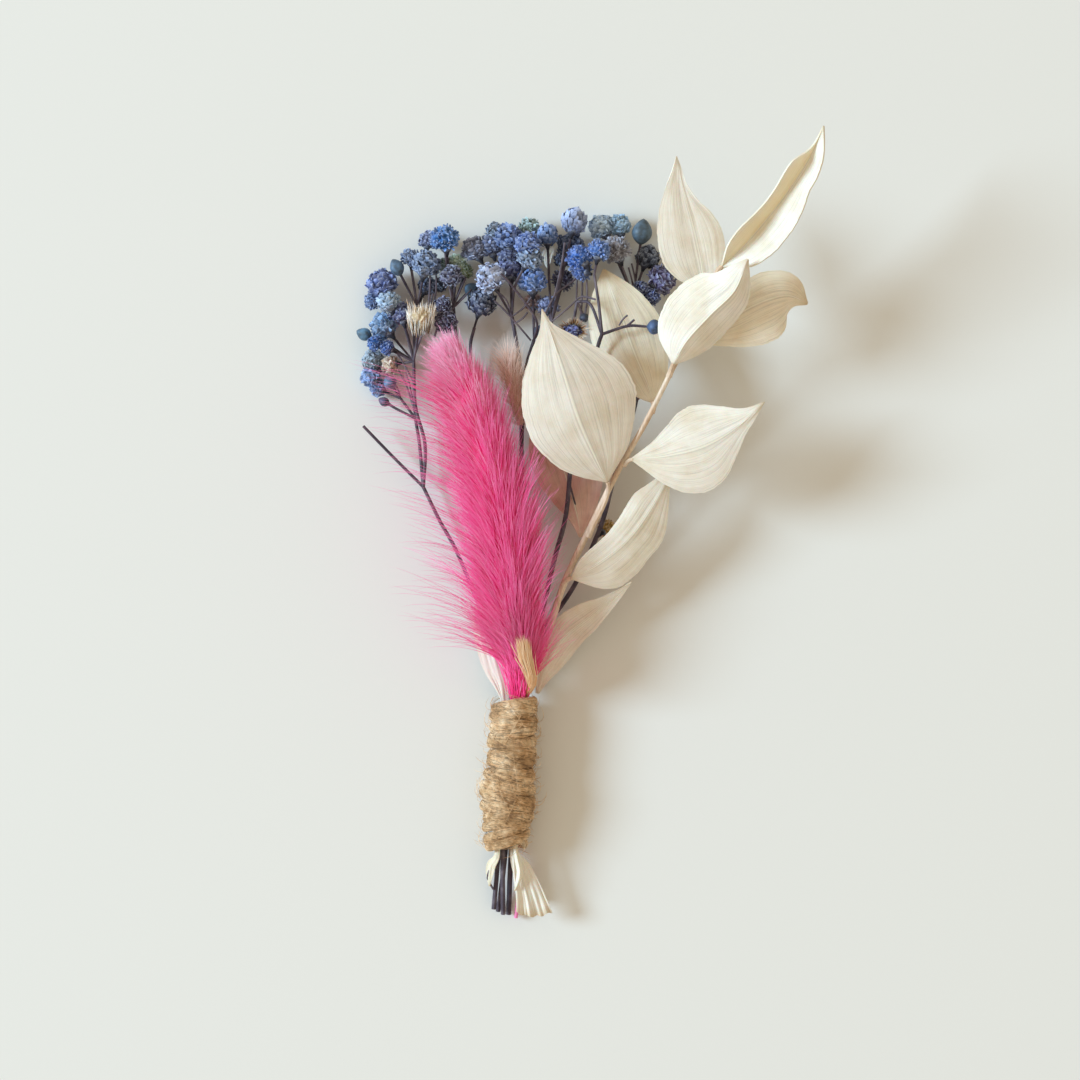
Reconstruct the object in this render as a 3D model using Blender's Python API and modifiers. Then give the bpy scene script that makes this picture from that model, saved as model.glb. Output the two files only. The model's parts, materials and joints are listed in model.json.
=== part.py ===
# A small dried flower bouquet, lying on its back as it does on a table.
# The stems run along Y: blooms and leaves at +Y, the cut ends at -Y, and the surface below is z = 0.
# Places and sizes are written in millimetres and turned to metres by MM.

import math
import random

import bmesh
import bpy
from mathutils import Matrix, Vector

MM = 0.001
UP = Vector((0.0, 0.0, 1.0))

# The twine binding round the stems.
WRAP_TOP = Vector((-14.05, -32.5, 5.6))
WRAP_END = Vector((-15.6, -62.0, 4.5))
WRAP_TURNS = 15
WRAP_SIDES = 18
WRAP_BORE = 3.0
TWINE_RIDGE = 0.42
# Outer radius of the binding, from its upper mouth (0) to its lower mouth (1).
WRAP_RADII = ((0.0, 4.0), (0.25, 4.4), (0.48, 4.3), (0.6, 5.1), (0.7, 5.0), (0.85, 4.3), (1.0, 3.6))
# How far the middle of each turn lies to the left of the straight bore.
WRAP_LEAN = ((0.0, 0.0), (0.5, 0.1), (0.62, 0.45), (0.75, 0.3), (1.0, 0.0))

# Where each stem runs in the bore: millimetres to the right of its axis and above it.
BORE_PLACES = {
    "left": (-1.6, -1.1),
    "middle": (-0.75, 0.35),
    "front": (-0.25, -1.2),
    "right": (0.8, -1.95),
    "ruscus": (1.35, -0.35),
    "plume": (0.7, 1.6),
    "plume end": (0.0, 1.6),
    "tail": (1.95, 1.05),
    "leaf": (-1.85, 0.8),
}

LEAF_THICKNESS = 0.65
LEAF_LENGTHWISE = 10
LEAF_ACROSS = 4

GAP = 0.3

# The middle of the bouquet seen from above, which becomes the origin.
ORIGIN = Vector((-0.5, -0.75, 0.0))

# Colour as red, green, blue from 0 to 1, and roughness.
MATERIALS = {
    "jute": ((0.52, 0.37, 0.19), 0.95),
    "bleached_leaf": ((0.82, 0.76, 0.60), 0.7),
    "bleached_stem": ((0.78, 0.68, 0.47), 0.65),
    "pink_plume": ((0.84, 0.07, 0.27), 0.9),
    "tan_grass": ((0.55, 0.33, 0.18), 0.9),
    "dyed_stem": ((0.06, 0.045, 0.08), 0.7),
    "slate_bloom": ((0.10, 0.14, 0.32), 0.9),
    "cobalt_bloom": ((0.04, 0.13, 0.48), 0.9),
    "violet_bloom": ((0.17, 0.18, 0.40), 0.9),
    "dusk_bloom": ((0.07, 0.08, 0.15), 0.9),
    "pale_bloom": ((0.30, 0.40, 0.34), 0.9),
    "undyed_bloom": ((0.62, 0.46, 0.26), 0.9),
}


def clear_scene():
    for old in list(bpy.data.objects):
        bpy.data.objects.remove(old, do_unlink=True)


def new_collection(name):
    made = bpy.data.collections.new(name)
    bpy.context.scene.collection.children.link(made)
    return made


def finish_of(name):
    made = bpy.data.materials.get(name)
    if made is None:
        colour, roughness = MATERIALS[name]
        made = bpy.data.materials.new(name)
        made.use_nodes = True
        shader = made.node_tree.nodes["Principled BSDF"]
        shader.inputs["Base Color"].default_value = (*colour, 1.0)
        shader.inputs["Roughness"].default_value = roughness
        shader.inputs["Metallic"].default_value = 0.0
        made.diffuse_color = (*colour, 1.0)
    return made


def add_object(name, mesh, material, collection):
    obj = bpy.data.objects.new(name, mesh)
    mesh.materials.clear()
    mesh.materials.append(finish_of(material))
    collection.objects.link(obj)
    return obj


def mesh_from(bm, name):
    mesh = bpy.data.meshes.new(name)
    bm.to_mesh(mesh)
    bm.free()
    return mesh


def between(stops, place):
    """The value at a place, read from (place, value) stops with straight runs between them."""
    for (a, low), (b, high) in zip(stops, stops[1:]):
        if place <= b:
            return low + (high - low) * max(0.0, place - a) / (b - a)
    return stops[-1][1]


def along(points, u):
    """A point on the smooth curve through the given points, at u from 0 to 1."""
    last = len(points) - 1
    place = min(max(u, 0.0), 1.0) * last
    i = min(int(place), last - 1)
    t = place - i
    p1, p2 = points[i], points[i + 1]
    p0 = points[i - 1] if i > 0 else p1 * 2 - p2
    p3 = points[i + 2] if i + 2 <= last else p2 * 2 - p1
    return 0.5 * (
        2 * p1
        + (p2 - p0) * t
        + (2 * p0 - 5 * p1 + 4 * p2 - p3) * t * t
        + (3 * p1 - p0 - 3 * p2 + p3) * t * t * t
    )


def direction_along(points, u):
    step = 0.01
    return (along(points, min(u + step, 1.0)) - along(points, max(u - step, 0.0))).normalized()


def vectors(points):
    return [Vector(p) for p in points]


def bore_point(place, share):
    """A point in the bore, at a share of the way from its upper mouth to its lower one, or past either."""
    across, above = BORE_PLACES[place]
    return WRAP_TOP.lerp(WRAP_END, share) + Vector((across, 0.0, above))


def tube_mesh(name, points, radii, resolution):
    """A tube through the points as one closed mesh, with a radius at each point."""
    curve = bpy.data.curves.new(name, "CURVE")
    curve.dimensions = "3D"
    curve.bevel_depth = MM
    curve.bevel_resolution = resolution
    curve.use_fill_caps = True
    spline = curve.splines.new("POLY")
    spline.points.add(len(points) - 1)
    for knot, point, radius in zip(spline.points, points, radii):
        knot.co = (*(point * MM), 1.0)
        knot.radius = radius
    holder = bpy.data.objects.new(name, curve)
    bpy.context.scene.collection.objects.link(holder)
    graph = bpy.context.evaluated_depsgraph_get()
    mesh = bpy.data.meshes.new_from_object(holder.evaluated_get(graph))
    bpy.data.objects.remove(holder)
    bpy.data.curves.remove(curve)
    bm = bmesh.new()
    bm.from_mesh(mesh)
    bmesh.ops.remove_doubles(bm, verts=bm.verts, dist=0.00001)
    bmesh.ops.recalc_face_normals(bm, faces=bm.faces)
    bm.to_mesh(mesh)
    bm.free()
    return mesh


def stem_mesh(name, points, start_radius, end_radius, steps, resolution=0):
    """A tapering tube on the smooth curve through the points."""
    shares = [i / steps for i in range(steps + 1)]
    places = [along(points, u) for u in shares]
    radii = [start_radius + (end_radius - start_radius) * u for u in shares]
    return tube_mesh(name, places, radii, resolution)


def keep_largest(mesh):
    """Drops every loose scrap and every sealed hollow that fusing leaves beside the main skin."""
    bm = bmesh.new()
    bm.from_mesh(mesh)
    unseen = set(bm.verts)
    islands = []
    while unseen:
        front = [unseen.pop()]
        island = list(front)
        while front:
            vertex = front.pop()
            for edge in vertex.link_edges:
                other = edge.other_vert(vertex)
                if other in unseen:
                    unseen.discard(other)
                    front.append(other)
                    island.append(other)
        islands.append(island)
    islands.sort(key=len)
    bmesh.ops.delete(bm, geom=[v for island in islands[:-1] for v in island], context="VERTS")
    bm.to_mesh(mesh)
    bm.free()


def fuse(name, meshes, material, collection):
    """Joins closed meshes that overlap into one object with one skin."""
    base = add_object(name, meshes[0], material, collection)
    if len(meshes) > 1:
        extras = new_collection(name + "_pieces")
        for i, mesh in enumerate(meshes[1:]):
            add_object(f"{name}_piece_{i}", mesh, material, extras)
        union = base.modifiers.new("union", "BOOLEAN")
        union.operation = "UNION"
        union.operand_type = "COLLECTION"
        union.collection = extras
        union.solver = "MANIFOLD"
        graph = bpy.context.evaluated_depsgraph_get()
        joined = bpy.data.meshes.new_from_object(base.evaluated_get(graph))
        base.modifiers.remove(union)
        keep_largest(joined)
        base.data = joined
        for piece in list(extras.objects):
            bpy.data.objects.remove(piece)
        bpy.data.collections.remove(extras)
    return base


# Leaves

RUSCUS_STEM = vectors(
    [
        (-12.0, -71.4, 2.7),
        bore_point("ruscus", 1.0),
        bore_point("ruscus", 0.5),
        bore_point("ruscus", 0.0),
        (-10.0, -26.0, 5.9),
        (-7.4, -19.0, 7.2),
        (-4.4, -10.0, 9.2),
        (0.3, 0.0, 11.5),
        (5.2, 10.0, 14.0),
        (10.8, 20.0, 16.4),
        (15.8, 30.0, 18.4),
        (20.0, 38.0, 19.2),
        (24.0, 48.0, 19.8),
    ]
)

# Each leaf's midrib runs from its base to its tip. Widths are of the left and the right half, as seen
# from above looking from base to tip, at even steps along it. Tilts are how far each half rises from
# level, at base and at tip, in degrees. Camber bends a half further, by half as many degrees at its edge.
LEAVES = {
    "leaf_front": {
        "midrib": [
            (3.3, 8.4, 14.9), (1.2, 12.5, 17.2), (-2.2, 20.0, 19.6), (-4.8, 28.0, 20.6),
            (-6.9, 34.8, 20.2), (-8.9, 40.4, 19.2)],
        "left": (0.5, 3.9, 7.4, 9.6, 9.5, 8.0, 5.2, 1.9, 0.35),
        "right": (0.5, 4.7, 8.5, 11.5, 12.0, 9.6, 5.2, 1.2, 0.35),
        "tilts": ((-8, -22), (-4, -10)), "camber": -22, "wave": 0.3,
    },
    "leaf_behind": {
        "midrib": [
            (11.9, 23.2, 15.7), (10.8, 27.0, 14.0), (8.4, 33.0, 11.4), (6.0, 40.0, 9.0),
            (2.8, 48.8, 7.6)],
        "left": (0.5, 2.6, 3.8, 5.0, 6.0, 6.8, 6.4, 4.4, 0.5),
        "right": (0.4, 1.8, 3.8, 5.6, 6.7, 7.0, 6.2, 4.0, 0.5),
        "tilts": ((0, 4), (-6, 4)), "camber": -14, "wave": 0.3,
    },
    "leaf_upper_front": {
        "midrib": [
            (15.5, 30.2, 20.0), (18.0, 34.4, 22.0), (22.2, 39.0, 23.4), (26.6, 43.4, 24.6),
            (29.0, 49.2, 25.0)],
        "left": (0.5, 4.8, 7.2, 8.4, 8.4, 7.6, 6.2, 3.8, 0.4),
        "right": (0.5, 3.8, 5.2, 5.7, 5.8, 5.5, 4.6, 2.6, 0.4),
        "tilts": ((-6, -14), (-24, -40)), "camber": -26, "wave": 0.3,
    },
    "leaf_upper_left": {
        "midrib": [
            (21.5, 43.6, 18.3), (20.6, 50.0, 17.4), (19.0, 57.0, 17.6), (17.2, 63.5, 18.2),
            (16.1, 68.8, 19.6)],
        "left": (0.5, 5.0, 6.9, 7.2, 6.7, 5.4, 3.4, 1.5, 0.35),
        "right": (0.5, 3.8, 4.8, 5.2, 4.3, 2.2, 1.0, 0.6, 0.35),
        "tilts": ((12, 18), (4, 6)), "camber": -16, "wave": 0.35,
    },
    "leaf_tip": {
        "midrib": [
            (24.6, 48.3, 20.4), (28.6, 52.2, 21.0), (33.4, 57.8, 22.0), (37.4, 63.2, 23.4),
            (40.4, 68.0, 25.0), (42.8, 73.4, 27.4)],
        "left": (0.5, 3.6, 4.6, 3.9, 3.6, 4.1, 4.0, 2.3, 0.35),
        "right": (0.5, 4.2, 6.0, 6.3, 5.9, 5.1, 4.2, 2.4, 0.35),
        "tilts": ((48, 50), (24, 36)), "camber": 14, "wave": 0.4,
    },
    "leaf_upper_right": {
        "midrib": [
            (18.8, 34.0, 17.8), (24.6, 37.6, 17.2), (31.0, 41.4, 16.8), (36.8, 43.2, 15.2),
            (41.0, 41.9, 13.2)],
        "left": (0.5, 2.5, 3.9, 4.7, 5.2, 5.7, 5.2, 3.4, 0.5),
        "right": (0.5, 2.4, 4.8, 6.9, 7.3, 6.8, 5.6, 3.6, 0.5),
        "tilts": ((-22, -14), (8, -8)), "camber": -10, "wave": 0.4,
    },
    "leaf_right": {
        "midrib": [
            (8.0, 12.6, 15.3), (14.5, 13.2, 17.0), (21.5, 15.0, 18.4), (27.6, 18.6, 19.2),
            (32.4, 23.1, 20.4)],
        "left": (0.5, 2.4, 4.8, 7.3, 7.9, 7.0, 4.6, 1.7, 0.35),
        "right": (0.5, 3.2, 6.4, 8.2, 7.8, 4.9, 2.3, 1.1, 0.35),
        "tilts": ((6, 4), (4, -18)), "camber": -16, "wave": 0.4,
    },
    "leaf_lower_right": {
        "midrib": [
            (-3.2, -9.8, 10.6), (1.6, -7.2, 11.2), (7.2, -2.6, 12.4), (12.0, 4.0, 13.4),
            (16.1, 11.8, 14.4)],
        "left": (0.5, 2.4, 3.2, 3.5, 3.8, 4.1, 4.2, 2.2, 0.35),
        "right": (0.5, 3.1, 5.8, 6.2, 5.7, 5.6, 3.6, 1.3, 0.35),
        "tilts": ((20, 14), (-4, -26)), "camber": -14, "wave": 0.5,
    },
    "leaf_low_right": {
        "midrib": [
            (-9.8, -31.8, 4.8), (-8.3, -27.0, 4.0), (-5.3, -21.6, 4.3), (0.4, -16.8, 6.2),
            (8.1, -10.5, 9.4)],
        "left": (0.5, 0.9, 1.8, 2.7, 3.3, 3.7, 3.2, 1.2, 0.35),
        "right": (0.5, 1.3, 2.5, 3.4, 3.6, 3.2, 2.6, 1.5, 0.35),
        "tilts": ((0, 20), (-12, -20)), "camber": 10, "wave": 0.4,
    },
    "leaf_low_left": {
        "midrib": [
            bore_point("leaf", 0.1), (-16.5, -30.4, 5.6), (-17.8, -26.0, 4.7),
            (-19.0, -20.0, 3.9), (-20.4, -12.0, 3.4)],
        "left": (0.4, 0.5, 1.4, 2.1, 2.6, 2.9, 3.0, 2.2, 0.4),
        "right": (0.4, 0.5, 0.6, 1.2, 2.4, 3.2, 3.1, 2.2, 0.4),
        "tilts": ((4, 0), (-4, 0)), "camber": -8, "wave": 0.2,
    },
    "leaf_shaded": {
        "midrib": [
            (-1.6, -2.0, 8.8), (-2.2, 2.0, 7.4), (-4.2, 9.0, 6.4), (-6.4, 16.5, 6.0),
            (-8.2, 24.0, 6.4)],
        "left": (0.45, 0.9, 1.9, 3.6, 5.1, 5.6, 5.2, 3.4, 0.4),
        "right": (0.45, 1.6, 3.4, 5.7, 7.2, 7.4, 6.2, 3.8, 0.4),
        "tilts": ((0, 0), (6, 4)), "camber": -8, "wave": 0.3,
    },
}


def smooth_value(values, u):
    return along([Vector((value, 0.0, 0.0)) for value in values], u).x


def blade_frame(leaf, u):
    """The midrib point at u, the level direction to its left, and the direction above it."""
    centre = along(leaf["midrib"], u)
    heading = direction_along(leaf["midrib"], u)
    left = UP.cross(heading).normalized()
    return centre, left, heading.cross(left).normalized()


def blade_tilt(leaf, u, side, reach):
    """How far a half of the blade rises from level there, in radians."""
    tilt_base, tilt_tip = leaf["tilts"][side]
    return math.radians(tilt_base + (tilt_tip - tilt_base) * u + leaf["camber"] * reach / 2)


def blade_point(leaf, u, v):
    """A point of a leaf's middle surface: u runs from base to tip, v from left edge (-1) to right (1)."""
    centre, left, above = blade_frame(leaf, u)
    side = 0 if v < 0 else 1
    reach = abs(v)
    half = smooth_value(leaf["left" if side == 0 else "right"], u) * reach
    angle = blade_tilt(leaf, u, side, reach)
    outwards = left if side == 0 else -left
    waves = math.sin(math.tau * (1.3 * u + 0.3 * side))
    ripple = leaf["wave"] * reach * reach * waves * math.sin(math.pi * u)
    return centre + outwards * (half * math.cos(angle)) + above * (half * math.sin(angle) + ripple)


def build_leaf(name, leaf, collection):
    leaf["midrib"] = vectors(leaf["midrib"])
    bm = bmesh.new()
    bmesh.ops.create_grid(bm, x_segments=LEAF_LENGTHWISE, y_segments=LEAF_ACROSS, size=1.0)
    for vertex in bm.verts:
        u = (vertex.co.x + 1) / 2
        vertex.co = blade_point(leaf, u, -vertex.co.y) * MM
    bmesh.ops.triangulate(bm, faces=bm.faces, quad_method="FIXED")
    obj = add_object(name, mesh_from(bm, name), "bleached_leaf", collection)
    wall = obj.modifiers.new("blade thickness", "SOLIDIFY")
    wall.thickness = LEAF_THICKNESS * MM
    wall.offset = 0.0


def build_ruscus(collection):
    mesh = stem_mesh("ruscus_stem", RUSCUS_STEM, 0.88, 0.4, 26, resolution=1)
    add_object("ruscus_stem", mesh, "bleached_stem", collection)
    for name, leaf in LEAVES.items():
        build_leaf(name, leaf, collection)


# The folded leaf end that fans out below the binding, and the scrap beside it

FAN_PLEATS = 3.5
FAN_PLEAT_HEIGHT = 0.55
# The fan's middle line, and its half width at even steps along it.
FAN_LINE = [
    (-14.0, -59.4, 5.8), (-13.9, -61.8, 5.7), (-12.9, -64.2, 5.6), (-11.9, -67.6, 5.2), (-11.0, -70.8, 4.8),
    (-10.3, -74.0, 4.6),
]
FAN_HALF_WIDTHS = (0.35, 0.4, 1.5, 2.3, 2.8, 3.4)


def fan_point(u, v):
    """A point of the pleated fan: u runs down from the binding, v from left side (-1) to right (1)."""
    centre = along(vectors(FAN_LINE), u)
    half = smooth_value(FAN_HALF_WIDTHS, u)
    pleat = FAN_PLEAT_HEIGHT * max(0.0, u - 0.15) * 1.2 * math.cos(math.pi * FAN_PLEATS * (v + 1))
    hem = 0.8 * u * (v * v - 0.4)
    return centre + Vector((half * v, hem, pleat - 0.6 * u * v))


def build_fan(collection):
    bm = bmesh.new()
    bmesh.ops.create_grid(bm, x_segments=6, y_segments=14, size=1.0)
    for vertex in bm.verts:
        vertex.co = fan_point((vertex.co.x + 1) / 2, -vertex.co.y) * MM
    bmesh.ops.triangulate(bm, faces=bm.faces, quad_method="FIXED")
    obj = add_object("leaf_end_fan", mesh_from(bm, "leaf_end_fan"), "bleached_leaf", collection)
    wall = obj.modifiers.new("blade thickness", "SOLIDIFY")
    wall.thickness = LEAF_THICKNESS * MM
    wall.offset = 0.0


SCRAP = {
    "midrib": [bore_point("leaf", 0.85), bore_point("leaf", 1.02), (-18.7, -65.0, 4.6), (-18.9, -68.6, 4.0)],
    "left": (0.35, 0.6, 1.0, 0.5), "right": (0.35, 0.6, 1.0, 0.5),
    "tilts": ((30, 30), (-30, -30)), "camber": 0, "wave": 0.0,
}


# The pale petal that shows among the blue heads.
SLIVER = {
    "midrib": [(-6.4, 53.9, 4.6), (-7.5, 52.6, 3.9), (-7.9, 51.1, 3.8), (-7.6, 49.2, 3.8)],
    "left": (0.35, 0.9, 1.0, 0.7, 0.35), "right": (0.35, 0.9, 1.0, 0.7, 0.35),
    "tilts": ((10, 10), (10, 10)), "camber": 0, "wave": 0.0,
}


# The binding

def wrap_centre(share):
    centre = WRAP_TOP.lerp(WRAP_END, share)
    return centre - Vector((between(WRAP_LEAN, share), 0.0, 0.0))


def wrap_point(turn, across):
    """A point of the wound twine: turn counts from the upper mouth, across goes over one twine, 0 to 2."""
    share = (turn + across / 2) / (WRAP_TURNS + 1)
    angle = math.tau * turn
    radius = between(WRAP_RADII, share)
    if across == 1:
        radius += TWINE_RIDGE
    centre = wrap_centre(share)
    place = centre + Vector((math.cos(angle) * radius, 0.0, math.sin(angle) * radius))
    place.z = max(place.z, 0.0)
    return place


def build_wrap(collection, cutters):
    steps = WRAP_TURNS * WRAP_SIDES
    bm = bmesh.new()
    bmesh.ops.create_grid(bm, x_segments=steps, y_segments=2, size=1.0)
    for vertex in bm.verts:
        step = round((vertex.co.x + 1) / 2 * steps)
        across = round(vertex.co.y + 1)
        vertex.co = wrap_point(step / WRAP_SIDES, across) * MM
    bmesh.ops.remove_doubles(bm, verts=bm.verts, dist=0.00002)
    ends = [edge for edge in bm.edges if edge.is_boundary]
    bmesh.ops.holes_fill(bm, edges=ends, sides=0)
    bmesh.ops.triangulate(bm, faces=bm.faces)
    bmesh.ops.recalc_face_normals(bm, faces=bm.faces)
    wrap = add_object("twine_wrap", mesh_from(bm, "twine_wrap"), "jute", collection)
    overrun = 0.3
    bore = [WRAP_TOP.lerp(WRAP_END, -overrun), WRAP_TOP.lerp(WRAP_END, 1 + overrun)]
    cutter = add_object("wrap_bore", tube_mesh("wrap_bore", bore, [WRAP_BORE] * 2, 4), "jute", cutters)
    cutter.hide_render = True
    cutter.display_type = "WIRE"
    cut = wrap.modifiers.new("bore", "BOOLEAN")
    cut.operation = "DIFFERENCE"
    cut.object = cutter
    cut.solver = "EXACT"


TWINE_TAIL = [
    bore_point("tail", 0.12), bore_point("tail", 0.0), (-11.3, -30.9, 8.0), (-10.8, -28.6, 11.0),
    (-12.0, -24.5, 14.6), (-12.9, -20.6, 17.2),
]


def build_twine_tail(collection):
    points = vectors(TWINE_TAIL)
    shares = (0.0, 0.25, 0.4, 0.6, 0.8, 0.92, 1.0)
    radii = (0.45, 0.45, 0.55, 0.85, 1.2, 1.3, 0.7)
    mesh = tube_mesh("twine_tail", [along(points, u) for u in shares], radii, 1)
    add_object("twine_tail", mesh, "jute", collection)


# The dyed grass plume

PLUME_STEM = vectors(
    [
        (-12.9, -25.0, 8.7),
        bore_point("plume", 0.0),
        bore_point("plume end", 0.5),
        bore_point("plume end", 1.0),
        (-15.0, -66.0, 3.6),
        (-14.3, -70.5, 2.2),
        (-13.9, -75.0, 1.4),
    ]
)
BRISTLE_CLEARANCE = 0.45

# Grass heads: the core's radius and the reach of the bristles go from the head's foot (0) to its end (1),
# and so does the lean of the bristles away from its middle line, in degrees.
PLUME = {
    "axis": vectors([
        bore_point("plume", 0.0), (-12.8, -26.5, 8.4), (-14.6, -18.5, 10.6), (-15.4, -9.0, 11.8),
        (-17.0, 2.0, 12.2), (-19.8, 14.0, 12.2), (-22.6, 24.5, 12.0), (-25.2, 31.5, 11.8)]),
    "core": (
        (0.0, 0.5), (0.06, 1.3), (0.13, 2.2), (0.25, 4.4), (0.38, 5.5), (0.8, 5.2), (0.93, 3.2), (1.0, 1.0)),
    "reach": (
        (0.0, 3.0), (0.05, 4.0), (0.1, 5.8), (0.16, 7.8), (0.3, 9.0), (0.6, 9.4), (0.85, 8.6), (1.0, 5.0)),
    "lean": ((0.0, 14.0), (0.06, 22.0), (0.12, 34.0), (0.4, 36.0), (0.85, 32.0), (1.0, 12.0)),
    "count": 235, "longest": 11.0, "root": 0.62, "floor": 3.0, "seed": 11,
}
TAN_TUFT = {
    "axis": vectors([(-13.4, 21.6, 4.6), (-14.1, 25.6, 6.9), (-15.0, 29.6, 7.9), (-15.4, 31.4, 8.0)]),
    "core": ((0.0, 0.6), (0.3, 1.3), (0.8, 1.5), (1.0, 0.6)),
    "reach": ((0.0, 1.6), (0.3, 2.6), (0.8, 2.8), (1.0, 2.0)),
    "lean": ((0.0, 30.0), (0.8, 38.0), (1.0, 20.0)),
    "count": 36, "longest": 3.6, "root": 0.42, "floor": 3.0, "seed": 5,
}


def bristle_mesh(root, heading, length, radius):
    bm = bmesh.new()
    bmesh.ops.create_cone(bm, cap_ends=True, segments=3, radius1=radius * MM, radius2=0.0, depth=length * MM)
    turn = heading.to_track_quat("Z", "Y").to_matrix().to_4x4()
    middle = (root + heading * length / 2) * MM
    bmesh.ops.transform(bm, matrix=Matrix.Translation(middle) @ turn, verts=bm.verts)
    return mesh_from(bm, "bristle")


def clear_length(root, heading, length, neighbours):
    """How far a bristle may reach before it comes near a neighbour, given as (middle, radius) balls."""
    step = 0.4
    reach = 2 * step
    while reach < length:
        tip = root + heading * (reach + step)
        if any((tip - middle).length < radius + BRISTLE_CLEARANCE for middle, radius in neighbours):
            break
        reach += step
    return min(reach, length)


def bristles(head, neighbours):
    """Three-sided bristles on a golden-angle spiral round a head's core, leaning towards the head's end."""
    draw = random.Random(head["seed"])
    made = []
    for i in range(head["count"]):
        share = 0.06 + 0.94 * (i + 0.5) / head["count"]
        axis = direction_along(head["axis"], share)
        side = UP.cross(axis).normalized()
        above = axis.cross(side).normalized()
        angle = i * math.radians(137.508) + draw.uniform(-0.2, 0.2)
        outwards = side * math.cos(angle) + above * math.sin(angle)
        lean = math.radians(between(head["lean"], share) + draw.uniform(-4, 4))
        heading = (axis * math.cos(lean) + outwards * math.sin(lean)).normalized()
        sunk = between(head["core"], share) * 0.6
        root = along(head["axis"], share) + outwards * sunk
        length = min((between(head["reach"], share) - sunk) / math.sin(lean), head["longest"])
        length *= draw.uniform(0.85, 1.0)
        if heading.z < 0:
            length = min(length, (root.z - head["floor"]) / -heading.z)
        length = clear_length(root, heading, length, neighbours)
        made.append(bristle_mesh(root, heading, length, head["root"]))
    return made


def core_mesh(head, steps):
    shares = [i / steps for i in range(steps + 1)]
    places = [along(head["axis"], u) for u in shares]
    return tube_mesh("core", places, [between(head["core"], u) for u in shares], 2)


def balls_along(points, radius):
    return [(along(points, i / 60), radius) for i in range(61)]


def bristle_neighbours():
    made = balls_along(RUSCUS_STEM[4:], 0.9) + balls_along(vectors(TWINE_TAIL[1:]), 1.0)
    for colour, spray, specs in BLOOMS.values():
        made += [(Vector(spec[:3]), spec[3]) for spec in specs]
    for branches in SPRAYS.values():
        for start_radius, end_radius, points in branches:
            made += balls_along(vectors(points), start_radius)
    return made


def build_plume(collection):
    stem = stem_mesh("plume_stem", PLUME_STEM, 0.5, 0.45, 8, resolution=1)
    around = bristle_neighbours()
    hair = bristles(PLUME, around + balls_along(TAN_TUFT["axis"], 2.9))
    fuse("bunny_tail_plume", [core_mesh(PLUME, 18), stem] + hair, "pink_plume", collection)
    beard = bristles(TAN_TUFT, around)
    fuse("grass_tuft_tan", [core_mesh(TAN_TUFT, 5)] + beard, "tan_grass", collection)


# Gypsophila stems

STALK_RADIUS = 0.3

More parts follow.
